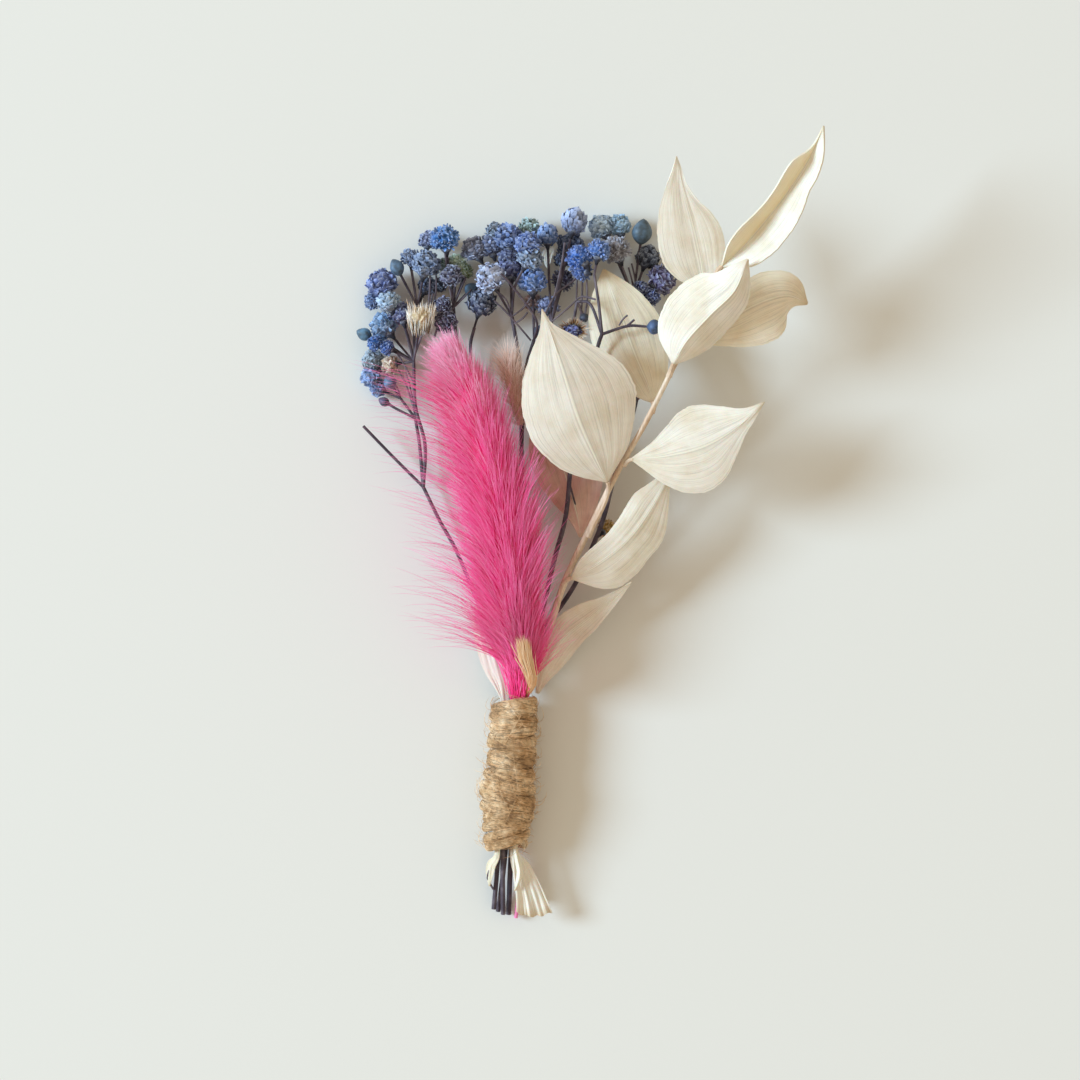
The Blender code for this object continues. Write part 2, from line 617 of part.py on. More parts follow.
# Each spray lists its branches: the radius at both ends, and the points they pass.
SPRAYS = {
    "gypsophila_left": [
        (0.55, 0.5, [(-18.1, -73.2, 2.5), bore_point("left", 1.0), bore_point("left", 0.5),
                     bore_point("left", 0.0), (-17.3, -26.5, 2.0), (-19.4, -19.0, 1.1),
                     (-22.6, -11.0, 1.1), (-25.6, -4.0, 1.6), (-28.4, 1.0, 2.0), (-31.6, 7.6, 2.6)]),
        (0.4, 0.4, [(-31.6, 7.6, 2.6), (-37.4, 13.4, 3.2), (-43.0, 19.2, 4.2)]),
        (0.45, 0.4, [(-31.6, 7.6, 2.6), (-32.3, 15.6, 2.8), (-33.1, 20.7, 3.0)]),
        (0.35, 0.35, [(-33.1, 20.7, 3.0), (-37.2, 22.8, 3.0), (-38.6, 24.0, 3.0)]),
        (0.35, 0.35, [(-33.1, 20.7, 3.0), (-35.9, 24.5, 3.4)]),
        (0.45, 0.4, [(-31.6, 7.6, 2.6), (-31.2, 15.6, 4.2), (-33.0, 23.0, 5.0), (-33.3, 31.4, 5.6)]),
        (0.4, 0.35, [(-33.3, 31.4, 5.6), (-33.2, 37.5, 3.6), (-32.7, 42.0, 3.6)]),
        (0.35, 0.35, [(-33.3, 31.4, 5.6), (-34.6, 36.6, 2.3), (-36.6, 41.5, 1.5)]),
    ],
    "gypsophila_upper": [
        (0.55, 0.5, [(-16.3, -74.2, 2.4), bore_point("middle", 1.0), bore_point("middle", 0.5),
                     bore_point("middle", 0.0), (-15.1, -27.0, 3.4), (-16.2, -20.0, 1.6), (-18.2, -5.0, 1.2),
                     (-20.4, 10.0, 1.3)]),
        (0.45, 0.4, [(-20.4, 10.0, 1.3), (-23.2, 24.0, 1.8), (-25.0, 34.5, 3.2), (-25.8, 42.0, 3.6)]),
        (0.4, 0.4, [(-20.4, 10.0, 1.3), (-21.8, 24.0, 1.4), (-22.6, 33.7, 3.0), (-21.8, 38.0, 4.0)]),
    ],
    "gypsophila_middle": [
        (0.55, 0.5, [(-17.3, -73.8, 0.9), bore_point("front", 1.0), bore_point("front", 0.5),
                     bore_point("front", 0.0), (-13.7, -26.0, 2.4), (-13.2, -15.0, 1.3), (-12.9, 0.0, 1.4),
                     (-12.8, 15.0, 2.2)]),
        (0.5, 0.45, [(-12.8, 15.0, 2.2), (-13.0, 29.7, 4.0), (-14.6, 40.0, 5.4)]),
        (0.45, 0.4, [(-12.8, 15.0, 2.2), (-12.1, 29.0, 4.8), (-10.4, 35.6, 5.8)]),
        (0.35, 0.3, [(-10.4, 35.6, 5.8), (-10.0, 39.2, 9.0), (-14.4, 45.2, 11.6), (-16.6, 47.6, 12.4)]),
    ],
    "gypsophila_right": [
        (0.6, 0.55, [(-15.3, -74.4, 0.9), bore_point("right", 1.0), bore_point("right", 0.5),
                     bore_point("right", 0.0), (-11.8, -26.0, 3.2), (-9.6, -20.0, 4.0)]),
        (0.55, 0.55, [(-9.6, -20.0, 4.0), (-7.9, -12.0, 5.8), (-6.2, -5.0, 7.2), (-4.8, 0.0, 8.4),
                      (-4.1, 4.0, 9.0), (-3.6, 10.2, 9.8)]),
        (0.5, 0.45, [(-3.6, 10.2, 9.8), (-1.6, 22.0, 11.0), (1.5, 33.4, 12.0), (2.4, 36.2, 12.2)]),
        (0.4, 0.35, [(2.4, 36.2, 12.2), (1.8, 42.0, 11.8), (1.0, 47.4, 11.2)]),
        (0.4, 0.35, [(2.4, 36.2, 12.2), (0.3, 41.9, 10.6), (-2.2, 42.6, 9.0)]),
        (0.4, 0.35, [(2.4, 36.2, 12.2), (7.2, 37.7, 12.6), (10.6, 37.6, 12.9)]),
        (0.35, 0.3, [(7.0, 37.6, 12.6), (8.5, 38.9, 12.9)]),
        (0.45, 0.4, [(-3.6, 10.2, 9.8), (-5.2, 25.0, 9.4), (-7.1, 38.4, 9.6)]),
    ],
    "gypsophila_far_right": [
        (0.55, 0.55, [(-9.6, -20.0, 2.6), (-5.9, -16.0, 3.6), (-2.6, -11.0, 4.8), (0.2, -5.0, 6.0),
                      (2.8, 1.6, 7.0), (4.6, 8.6, 8.0), (7.6, 18.6, 8.4), (9.0, 24.0, 8.0)]),
        (0.5, 0.45, [(9.0, 24.0, 8.0), (10.4, 31.0, 5.6), (10.0, 38.5, 3.6), (8.6, 44.0, 3.2)]),
        (0.4, 0.35, [(9.0, 24.0, 8.0), (12.4, 27.0, 9.4), (14.8, 28.6, 10.6)]),
    ],
}

# Where the flower stalks start: millimetres.
FORKS = {
    "low left": (-35.9, 24.5, 3.4),
    "side": (-37.2, 22.8, 3.0),
    "left": (-33.3, 31.4, 5.6),
    "left outer": (-36.6, 41.5, 1.5),
    "upper left": (-32.7, 42.0, 3.6),
    "upper": (-25.8, 42.0, 3.6),
    "dusk": (-21.8, 38.0, 4.0),
    "crown": (-14.6, 40.0, 5.4),
    "crown side": (-10.4, 35.6, 5.8),
    "fan": (-7.1, 38.4, 9.6),
    "front": (1.0, 47.4, 11.2),
    "lean": (-2.2, 42.6, 9.0),
    "far right": (8.6, 44.0, 3.2),
    "arm": (10.6, 37.6, 12.9),
    "low right": (1.2, -2.6, 6.4),
}

# Flower heads: x, y, height of the middle, radius, the fork they grow from, and their stalk: True for a
# slight sag, a point it bends through, or False where the head sits among its neighbours and hides it.
BLOOMS = {
    "blooms_left_violet": ("violet_bloom", "gypsophila_left", [
        (-39.3, 46.1, 2.9, 2.7, "left outer", True), (-41.1, 43.1, 3.0, 1.6, "left outer", True)]),
    "blooms_left_slate": ("slate_bloom", "gypsophila_left", [
        (-38.1, 42.5, 6.0, 2.0, "left", False), (-35.6, 40.4, 5.0, 2.1, "left", True)]),
    "bloom_left_slate_low": ("slate_bloom", "gypsophila_left", [(-38.9, 38.1, 3.0, 2.5, "left", True)]),
    "blooms_left_cobalt": ("cobalt_bloom", "gypsophila_left", [
        (-40.6, 34.8, 5.6, 1.4, "left", False), (-38.3, 34.0, 5.9, 1.4, "left", True)]),
    "blooms_low_left_violet": ("violet_bloom", "gypsophila_left", [
        (-41.2, 31.6, 2.2, 2.0, "low left", False), (-41.5, 28.5, 1.85, 1.85, "low left", False),
        (-40.1, 26.4, 2.2, 1.55, "low left", True)]),
    "bloom_left_undyed": ("undyed_bloom", "gypsophila_left", [(-37.7, 31.0, 4.4, 1.6, "left", True)]),
    "blooms_upper_left_slate": ("slate_bloom", "gypsophila_left", [
        (-31.1, 49.7, 6.0, 2.6, "upper left", True), (-34.1, 51.1, 5.6, 1.6, "upper left", True)]),
    "bloom_upper_left_violet": ("violet_bloom", "gypsophila_left", [
        (-30.7, 54.5, 3.5, 1.7, "upper left", False)]),
    "blooms_upper_left_dusk": ("dusk_bloom", "gypsophila_left", [
        (-30.9, 45.9, 2.2, 1.7, "upper left", True), (-28.5, 46.2, 2.35, 1.4, "upper left", False)]),
    "bloom_left_undyed_high": ("undyed_bloom", "gypsophila_left", [(-31.9, 39.6, 7.8, 2.3, "left", True)]),
    "bloom_upper_cobalt": ("cobalt_bloom", "gypsophila_upper", [(-27.3, 54.5, 7.0, 2.6, "upper", True)]),
    "blooms_upper_pale": ("pale_bloom", "gypsophila_upper", [
        (-25.2, 50.1, 3.2, 1.75, "upper", True), (-27.5, 49.9, 3.2, 1.3, "upper", False),
        (-23.5, 48.6, 3.2, 1.35, "upper", True)]),
    "bloom_upper_dusk": ("dusk_bloom", "gypsophila_upper", [(-26.1, 47.3, 8.0, 2.0, "upper", True)]),
    "blooms_upper_violet": ("violet_bloom", "gypsophila_upper", [
        (-27.6, 42.1, 6.4, 1.55, "upper", True), (-27.2, 39.1, 6.0, 2.0, "upper", False)]),
    "bloom_dusk": ("dusk_bloom", "gypsophila_upper", [(-20.4, 42.5, 6.0, 2.6, "dusk", True)]),
    "blooms_crown_violet": ("violet_bloom", "gypsophila_middle", [
        (-21.6, 52.7, 4.6, 2.3, "crown", True), (-18.6, 53.3, 4.6, 2.2, "crown", False),
        (-17.8, 56.1, 5.0, 1.7, "crown", False), (-15.2, 54.6, 6.0, 2.6, "crown", False),
        (-15.2, 51.7, 5.0, 2.0, "crown", False), (-14.9, 49.0, 3.4, 2.6, "crown", True)]),
    "bloom_crown_pale": ("pale_bloom", "gypsophila_middle", [(-11.3, 56.8, 3.6, 1.9, "crown", False)]),
    "blooms_crown_slate": ("slate_bloom", "gypsophila_middle", [
        (-11.7, 53.1, 10.2, 2.3, "crown", False), (-11.3, 50.6, 10.2, 2.2, "crown", (-14.0, 45.5, 8.8))]),
    "bloom_lavender": ("violet_bloom", "gypsophila_middle", [(-18.6, 46.9, 9.0, 2.7, "crown", True)]),
    "bloom_crown_cobalt": ("cobalt_bloom", "gypsophila_middle", [
        (-10.7, 46.5, 7.0, 2.7, "crown side", True)]),
    "bloom_middle_undyed": ("undyed_bloom", "gypsophila_middle", [
        (-10.5, 42.8, 2.6, 1.7, "crown side", True)]),
    "bloom_streaked": ("slate_bloom", "gypsophila_right", [(-7.9, 55.2, 6.3, 2.1, "fan", True)]),
    "bloom_dried_violet": ("violet_bloom", "gypsophila_right", [(-7.7, 41.9, 5.2, 1.9, "fan", True)]),
    "bloom_ball": ("violet_bloom", "gypsophila_right", [(-2.8, 57.7, 7.0, 2.5, "fan", True)]),
    "blooms_middle_dusk": ("dusk_bloom", "gypsophila_right", [
        (-3.5, 53.6, 3.4, 2.4, "fan", (-5.4, 47.5, 7.8)), (-4.9, 51.0, 3.0, 1.6, "fan", False)]),
    "bloom_tangle": ("dusk_bloom", "gypsophila_right", [(-4.9, 46.9, 4.2, 2.0, "fan", True)]),
    "blooms_front_cobalt": ("cobalt_bloom", "gypsophila_right", [
        (1.8, 52.0, 10.2, 2.1, "front", True), (-1.7, 50.6, 9.6, 2.4, "front", False),
        (-1.2, 48.4, 9.0, 1.9, "front", False)]),
    "bloom_ringed": ("violet_bloom", "gypsophila_right", [(-3.1, 37.1, 7.6, 1.9, "lean", True)]),
    "blooms_right_pale": ("pale_bloom", "gypsophila_far_right", [
        (2.8, 57.0, 3.2, 2.4, "far right", True), (6.0, 57.3, 3.4, 2.1, "far right", False)]),
    "bloom_right_grey": ("dusk_bloom", "gypsophila_far_right", [(5.2, 52.5, 6.2, 2.7, "far right", True)]),
    "bloom_right_dusk": ("dusk_bloom", "gypsophila_far_right", [(11.2, 51.4, 2.3, 2.2, "far right", True)]),
    "bloom_right_violet": ("violet_bloom", "gypsophila_far_right", [
        (13.8, 47.0, 4.0, 2.6, "far right", True)]),
    "blooms_right_cobalt": ("cobalt_bloom", "gypsophila_far_right", [
        (9.8, 45.1, 5.8, 1.55, "far right", True), (12.0, 43.6, 5.8, 1.5, "far right", False)]),
    "tuft_golden": ("undyed_bloom", "gypsophila_far_right", [(3.4, -0.4, 4.2, 1.7, "low right", True)]),
}

# Closed buds, grown as one with their stems: x, y, height of the middle, radius, length, fork and stalk.
BUDS = {
    "gypsophila_left": [
        (-36.5, 49.3, 6.4, 1.35, 3.6, "upper left", True),
        (-42.9, 36.8, 3.4, 1.25, 3.2, "left", (-38.5, 34.9, 2.2)),
        (-37.9, 27.5, 4.8, 1.3, 2.8, "low left", True), (-39.1, 23.9, 3.0, 0.9, 2.4, "side", True)],
    "gypsophila_upper": [(-22.4, 45.4, 3.4, 1.3, 2.8, "upper", True)],
    "gypsophila_middle": [(-9.3, 37.3, 6.2, 1.1, 2.4, "crown side", True)],
    "gypsophila_right": [
        (12.3, 37.5, 13.1, 1.45, 3.0, "arm", True), (-0.9, 39.6, 7.8, 0.9, 1.9, "lean", True)],
    "gypsophila_far_right": [(10.2, 56.2, 5.2, 1.95, 5.0, "far right", True)],
}

BLOOM_SIDES = 10
BLOOM_RINGS = 5
PETAL_DEPTH = 0.16


def fork_point(name):
    return Vector(FORKS[name])


def facing_of(spec, fork):
    """The way a flower head or a bud faces: straight on from its fork."""
    return (Vector(spec[:3]) - fork_point(fork)).normalized()


def bloom_mesh(spec):
    """A double flower head: a ball whose rings of petals stand out and fall back by turns."""
    radius = spec[3]
    bm = bmesh.new()
    bmesh.ops.create_uvsphere(bm, u_segments=BLOOM_SIDES, v_segments=BLOOM_RINGS, radius=radius * MM)
    for vertex in bm.verts:
        ring = round((1 - vertex.co.normalized().z) * 10)
        spoke = round(math.atan2(vertex.co.y, vertex.co.x) / math.tau * BLOOM_SIDES)
        flat = math.hypot(vertex.co.x, vertex.co.y) > 0.01 * radius * MM
        if flat and (spoke + ring) % 2:
            vertex.co *= 1 - PETAL_DEPTH
    turn = facing_of(spec, spec[4]).to_track_quat("Z", "Y").to_matrix().to_4x4()
    bmesh.ops.transform(bm, matrix=Matrix.Translation(Vector(spec[:3]) * MM) @ turn, verts=bm.verts)
    return mesh_from(bm, "bloom")


def bud_mesh(spec):
    """A closed bud: a smooth drop, longer than wide."""
    radius, length = spec[3], spec[4]
    bm = bmesh.new()
    bmesh.ops.create_uvsphere(bm, u_segments=8, v_segments=4, radius=radius * MM)
    stretch = Matrix.Diagonal((1.0, 1.0, length / (2 * radius), 1.0))
    turn = facing_of(spec, spec[5]).to_track_quat("Z", "Y").to_matrix().to_4x4()
    place = Matrix.Translation(Vector(spec[:3]) * MM)
    bmesh.ops.transform(bm, matrix=place @ turn @ stretch, verts=bm.verts)
    return mesh_from(bm, "bud")


def stalk_mesh(spec, fork, bend, reach):
    """A flower stalk from its fork, through a bend if it has one, to reach short of the head's middle."""
    start = fork_point(fork)
    middle = Vector(spec[:3])
    if bend is True:
        end = middle - facing_of(spec, fork) * reach
        turn = (start + end) / 2 - UP * 0.06 * (end - start).length
    else:
        turn = Vector(bend)
        end = middle - (middle - turn).normalized() * reach
    return stem_mesh("stalk", [start, turn, end], STALK_RADIUS, STALK_RADIUS, 2)


def build_gypsophila(collection):
    for name, branches in SPRAYS.items():
        pieces = []
        for start_radius, end_radius, points in branches:
            steps = 2 * (len(points) - 1)
            pieces.append(stem_mesh(name, vectors(points), start_radius, end_radius, steps))
        for colour, spray, specs in BLOOMS.values():
            if spray == name:
                pieces += [stalk_mesh(spec, spec[4], spec[5], spec[3] + GAP) for spec in specs if spec[5]]
        for spec in BUDS.get(name, []):
            pieces.append(stalk_mesh(spec, spec[5], spec[6], spec[4] * 0.3))
            pieces.append(bud_mesh(spec))
        fuse(name, pieces, "dyed_stem", collection)
    for name, (colour, spray, specs) in BLOOMS.items():
        fuse(name, [bloom_mesh(spec) for spec in specs], colour, collection)


def move_origin(collections):
    for collection in collections:
        for obj in collection.objects:
            obj.data.transform(Matrix.Translation(-ORIGIN * MM))


def main():
    clear_scene()
    bouquet = new_collection("dried_flower_bouquet")
    cutters = new_collection("cutters")
    build_ruscus(bouquet)
    build_leaf("leaf_end_scrap", SCRAP, bouquet)
    build_leaf("petal_sliver", SLIVER, bouquet)
    build_fan(bouquet)
    build_wrap(bouquet, cutters)
    build_twine_tail(bouquet)
    build_plume(bouquet)
    build_gypsophila(bouquet)
    move_origin([bouquet, cutters])


main()
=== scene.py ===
import functools
import json
import math
import random

import bpy
from mathutils import Matrix, Vector, noise

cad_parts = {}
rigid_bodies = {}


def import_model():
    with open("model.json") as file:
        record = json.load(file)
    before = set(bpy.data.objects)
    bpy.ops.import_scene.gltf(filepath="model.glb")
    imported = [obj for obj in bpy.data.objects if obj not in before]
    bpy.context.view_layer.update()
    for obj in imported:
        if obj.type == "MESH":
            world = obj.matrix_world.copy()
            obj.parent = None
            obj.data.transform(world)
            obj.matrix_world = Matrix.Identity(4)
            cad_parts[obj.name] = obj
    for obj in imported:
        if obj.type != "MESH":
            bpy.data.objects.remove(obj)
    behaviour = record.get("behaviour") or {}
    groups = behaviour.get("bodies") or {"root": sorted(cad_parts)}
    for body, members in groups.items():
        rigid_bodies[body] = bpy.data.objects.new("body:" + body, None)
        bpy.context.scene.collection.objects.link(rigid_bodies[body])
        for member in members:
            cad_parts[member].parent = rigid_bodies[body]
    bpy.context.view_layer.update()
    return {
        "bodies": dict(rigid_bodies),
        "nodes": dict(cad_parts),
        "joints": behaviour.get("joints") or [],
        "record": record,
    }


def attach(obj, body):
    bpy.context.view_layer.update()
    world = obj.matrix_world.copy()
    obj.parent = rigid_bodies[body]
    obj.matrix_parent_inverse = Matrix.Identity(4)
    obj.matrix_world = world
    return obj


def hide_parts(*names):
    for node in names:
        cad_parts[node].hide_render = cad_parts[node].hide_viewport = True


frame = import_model()
print("frame loaded:", len(frame["nodes"]), "nodes")

mm = 0.001
up = Vector((0, 0, 1))
# Places are written in millimetres in the bouquet's own layout, whose middle is here.
layoutMiddle = Vector((-0.5, -0.75, 0.0))
goldenAngle = math.radians(137.508)  # spreads hairs and petals evenly round a head


# shared tools

def place(x, y, z):
    return (Vector((x, y, z)) - layoutMiddle) * mm


def places(points):
    return [place(*p) for p in points]


def hexToLinear(code):
    parts = [int(code[i:i + 2], 16) / 255 for i in (1, 3, 5)]
    return [p / 12.92 if p <= 0.04045 else ((p + 0.055) / 1.055) ** 2.4 for p in parts] + [1.0]


def nodeName(name):
    # leafUpperFront becomes leaf_upper_front, as CAD names it
    return "".join("_" + letter.lower() if letter.isupper() else letter for letter in name)


def evenShares(steps):
    return [i / steps for i in range(steps + 1)]


def scatter(draw, spread):
    return Vector((draw.gauss(0, spread), draw.gauss(0, spread), draw.gauss(0, spread)))


def stopAt(stops, where):
    # reads a value off (where, value) stops, straight between them
    for (a, low), (b, high) in zip(stops, stops[1:]):
        if where <= b:
            return low + (high - low) * max(0.0, where - a) / (b - a)
    return stops[-1][1]


def curvePoint(points, u):
    # a point on the smooth curve through the points, u from 0 to 1
    last = len(points) - 1
    spot = min(max(u, 0.0), 1.0) * last
    i = min(int(spot), last - 1)
    t = spot - i
    b, c = points[i], points[i + 1]
    a = points[i - 1] if i > 0 else b * 2 - c
    d = points[i + 2] if i + 2 <= last else c * 2 - b
    square, cube = 2 * a - 5 * b + 4 * c - d, 3 * b - a - 3 * c + d
    return 0.5 * (2 * b + (c - a) * t + square * t * t + cube * t ** 3)


def curveHeading(points, u):
    return (curvePoint(points, min(u + 0.01, 1.0)) - curvePoint(points, max(u - 0.01, 0.0))).normalized()


def curveValue(values, u):
    return curvePoint([Vector((value, 0, 0)) for value in values], u).x


def newBundle():
    # vertices and faces of one piece, with each vertex's place along its strand, its shade and a dye colour
    return {"verts": [], "faces": [], "along": [], "shade": [], "dye": []}


def addVertex(bundle, spot, along, shade, dye):
    bundle["verts"].append(spot)
    bundle["along"].append(along)
    bundle["shade"].append(shade)
    bundle["dye"].append(dye)


def addFaces(bundle, first, faces):
    # faces of a shape whose vertices begin at first
    bundle["faces"] += [tuple(first + i for i in corners) for corners in faces]


greyDye = (0.5, 0.5, 0.5, 1.0)


def addTube(bundle, points, radii, sides, shade=0.5, dye=greyDye, lobes=None, ways=None):
    # a closed strand through the points; a radius of 0 at its end makes a point, and ways are the two
    # directions across it at each point
    first = len(bundle["verts"])
    last = len(points) - 1
    side = None
    rings = []
    for i in range(last + 1):
        heading = (points[min(i + 1, last)] - points[max(i - 1, 0)]).normalized()
        if side is None:
            side = heading.orthogonal().normalized()
        side = (side - heading * side.dot(heading)).normalized()
        other = heading.cross(side)
        if ways:
            side, other = ways[i]
        count = 1 if radii[i] == 0 else sides
        rings.append((len(bundle["verts"]), count))
        for k in range(count):
            angle = math.tau * k / sides
            radius = radii[i] if lobes is None else radii[i] * lobes(i, angle)
            spot = points[i] + (side * math.cos(angle) + other * math.sin(angle)) * radius
            addVertex(bundle, spot, i / last, shade, dye)
    for (a, aCount), (b, bCount) in zip(rings, rings[1:]):
        for k in range(sides):
            n = (k + 1) % sides
            if bCount == 1:
                bundle["faces"].append((a + k, a + n, b))
            elif aCount == 1:
                bundle["faces"].append((a, b + n, b + k))
            else:
                bundle["faces"].append((a + k, a + n, b + n, b + k))
    if rings[0][1] > 1:
        bundle["faces"].append(tuple(range(first + sides - 1, first - 1, -1)))
    if rings[-1][1] > 1:
        bundle["faces"].append(tuple(range(rings[-1][0], rings[-1][0] + sides)))


def smoothTube(bundle, points, startRadius, endRadius, steps, sides, **more):
    shares = evenShares(steps)
    radii = [(startRadius + (endRadius - startRadius) * u) * mm for u in shares]
    addTube(bundle, [curvePoint(points, u) for u in shares], radii, sides, **more)


def selectOnly(obj):
    bpy.ops.object.select_all(action="DESELECT")
    bpy.context.view_layer.objects.active = obj
    obj.select_set(True)


def applyAll(obj):
    selectOnly(obj)
    for modifier in list(obj.modifiers):
        bpy.ops.object.modifier_apply(modifier=modifier.name)


def finishPiece(obj, material, nodes=None, sharpAngle=40):
    # a piece replaces the CAD node of its own name, unless nodes names others
    obj.data.materials.clear()
    obj.data.materials.append(material)
    selectOnly(obj)
    bpy.ops.object.shade_smooth_by_angle(angle=math.radians(sharpAngle))
    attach(obj, "root")
    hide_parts(*(nodes or [nodeName(obj.name)]))
    return obj


def bundlePiece(name, bundle, material, nodes=None, sharpAngle=40):
    mesh = bpy.data.meshes.new(name)
    mesh.from_pydata([tuple(v) for v in bundle["verts"]], [], bundle["faces"])
    for key in ("along", "shade"):
        mesh.attributes.new(key, "FLOAT", "POINT").data.foreach_set("value", bundle[key])
    dye = mesh.attributes.new("dye", "FLOAT_COLOR", "POINT")
    dye.data.foreach_set("color", [channel for colour in bundle["dye"] for channel in colour])
    obj = bpy.data.objects.new(name, mesh)
    bpy.context.scene.collection.objects.link(obj)
    return finishPiece(obj, material, nodes, sharpAngle)


# the output that a link takes where none is named; for every other kind of node it is the first
mainOutputs = {"MIX": 2, "TEX_COORD": "Object"}


def addNode(material, kind, inputs=None, **settings):
    # inputs holds plain values, nodes to link from, or (node, output name)
    tree = material.node_tree
    node = tree.nodes["Principled BSDF"] if kind == "Principled" else tree.nodes.new("ShaderNode" + kind)
    for key, value in settings.items():
        if key == "stops":
            ramp = node.color_ramp.elements
            while len(ramp) < len(value):
                ramp.new(0.5)
            for element, (position, colour) in zip(ramp, value):
                element.position = position
                element.color = hexToLinear(colour) if isinstance(colour, str) else (colour,) * 3 + (1.0,)
        else:
            setattr(node, key, value)
    for key, value in (inputs or {}).items():
        if isinstance(value, bpy.types.Node):
            value = (value, mainOutputs.get(value.type, 0))
        if isinstance(value, tuple) and isinstance(value[0], bpy.types.Node):
            tree.links.new(value[0].outputs[value[1]], node.inputs[key])
        else:
            node.inputs[key].default_value = value
    return node


def newMaterial(name):
    # the material, and the add-node function for it
    material = bpy.data.materials.new(name)
    material.use_nodes = True
    return material, functools.partial(addNode, material)


# materials

def finishMaterial(material, add, colour, layers, surface, relief=None):
    # lays each (blend type, factor, colour) over the colour so far, then sets the surface and its relief,
    # which is (height, strength, distance)
    for blending, factor, layer in layers:
        colour = add("Mix", {"Factor": factor, 6: colour, 7: layer}, data_type="RGBA", blend_type=blending)
    if relief:
        surface["Normal"] = add("Bump", dict(zip(("Height", "Strength", "Distance"), relief)))
    add("Principled", {"Base Color": colour, "IOR": 1.45, **surface})
    return material


def makeLeafMaterial(name, light, middle, dark, patchTint=None, patchTintShare=0.5, leftShadeTint=None):
    # Ruscus leaf, bleached and dried: papery and matt, with close parallel veins that follow the blade, a
    # pale midrib with a thin line of painted shade along each side, paler margins and a browner base and tip.
    # Real veins are about 0.4 mm apart.
    material, add = newMaterial(name)
    uv = add("UVMap", uv_map="UVMap")
    split = add("SeparateXYZ", {0: uv})
    stretch = add("Mapping", {"Vector": uv, "Scale": (2.2, 72.0, 1.0)})
    streaks = add("TexNoise", {
        "Vector": stretch, "Scale": 1.0, "Detail": 4.0, "Roughness": 0.62, "Distortion": 0.25})
    veins = add("TexWave", {
        "Vector": uv, "Scale": 5.2, "Distortion": 1.6, "Detail": 2.0, "Detail Scale": 0.7},
        wave_type="BANDS", bands_direction="Y")
    coords = add("TexCoord")
    blotch = add("TexNoise", {"Vector": coords, "Scale": 130.0, "Detail": 5.0, "Roughness": 0.6})
    patches = add("ValToRGB", {"Fac": blotch}, stops=((0.3, dark), (0.52, middle), (0.7, light)))
    fine = add("ValToRGB", {"Fac": streaks}, stops=((0.36, 0.5), (0.45, 0.86), (0.56, 1.0)))
    coarse = add("ValToRGB", {"Fac": (veins, "Fac")}, stops=((0.0, 0.8), (0.25, 1.0)))
    # painted shade: a thin darker line on each side of the midrib, where the raised rib would shade the blade
    ribShade = add("ValToRGB", {"Fac": (split, "Y")}, stops=(
        (0.0, 1.0), (0.47, 1.0), (0.483, 0.8), (0.492, 1.0), (0.508, 1.0), (0.517, 0.84), (0.53, 1.0),
        (1.0, 1.0)))
    midrib = add("ValToRGB", {"Fac": (split, "Y")}, stops=(
        (0.0, 0.3), (0.014, 0.05), (0.03, 0.0), (0.487, 0.0), (0.494, 0.9), (0.506, 0.9), (0.513, 0.0),
        (0.97, 0.0), (0.986, 0.05), (1.0, 0.3)))
    tip = add("ValToRGB", {"Fac": (split, "X")}, stops=(
        (0.0, 0.35), (0.06, 0.0), (0.9, 0.0), (1.0, 0.55)))
    layers = [("MULTIPLY", 0.5, fine), ("MULTIPLY", 0.12, coarse), ("MULTIPLY", 1.0, ribShade),
              ("MIX", midrib, hexToLinear("#F6EFDC")), ("MIX", tip, hexToLinear("#C2A470"))]
    # painted shade: a warm tan over the left half, the folded half that faces away from the light
    if leftShadeTint:
        leftHalfShade = add("ValToRGB", {"Fac": (split, "Y")}, stops=(
            (0.49, 0.0), (0.53, 0.6), (0.8, 0.5), (1.0, 0.15)))
        layers.append(("MIX", leftHalfShade, hexToLinear(leftShadeTint)))
    # pinkish patches over the blade; on the shaded leaf under the plume they are painted pink reflection and
    # shade
    if patchTint:
        tintNoise = add("TexNoise", {"Vector": coords, "Scale": 90.0, "Detail": 3.0})
        amount = add("ValToRGB", {"Fac": tintNoise}, stops=((0.52, 0.0), (0.74, patchTintShare)))
        layers.append(("MIX", amount, hexToLinear(patchTint)))
    height = add("Math", {0: (veins, "Fac"), 1: 0.15, 2: streaks}, operation="MULTIPLY_ADD")
    return finishMaterial(material, add, patches, layers, {
        "Roughness": 0.62, "Specular IOR Level": 0.35, "Subsurface Weight": 0.12, "Subsurface Scale": 0.0008},
        (height, 0.4, 0.00012))


def makeStemMaterial():
    # Ruscus stem, bleached and dried: peach-cream, satin, with long grooves about 0.3 mm apart.
    material, add = newMaterial("bleachedStem")
    coords = add("TexCoord")
    grooves = add("Mapping", {
        "Vector": coords, "Rotation": (0, 0, 0.42), "Scale": (3000.0, 160.0, 3000.0)})
    grain = add("TexNoise", {"Vector": grooves, "Scale": 1.0, "Detail": 3.0})
    blotch = add("TexNoise", {"Vector": coords, "Scale": 160.0, "Detail": 3.0})
    base = add("ValToRGB", {"Fac": blotch}, stops=(
        (0.3, "#D2AE8B"), (0.5, "#E4CBB0"), (0.7, "#EFE0C8")))
    lines = add("ValToRGB", {"Fac": grain}, stops=((0.35, 0.6), (0.6, 1.0)))
    return finishMaterial(material, add, base, [("MULTIPLY", 0.6, lines)], {"Roughness": 0.5},
                          (grain, 0.35, 0.0001))


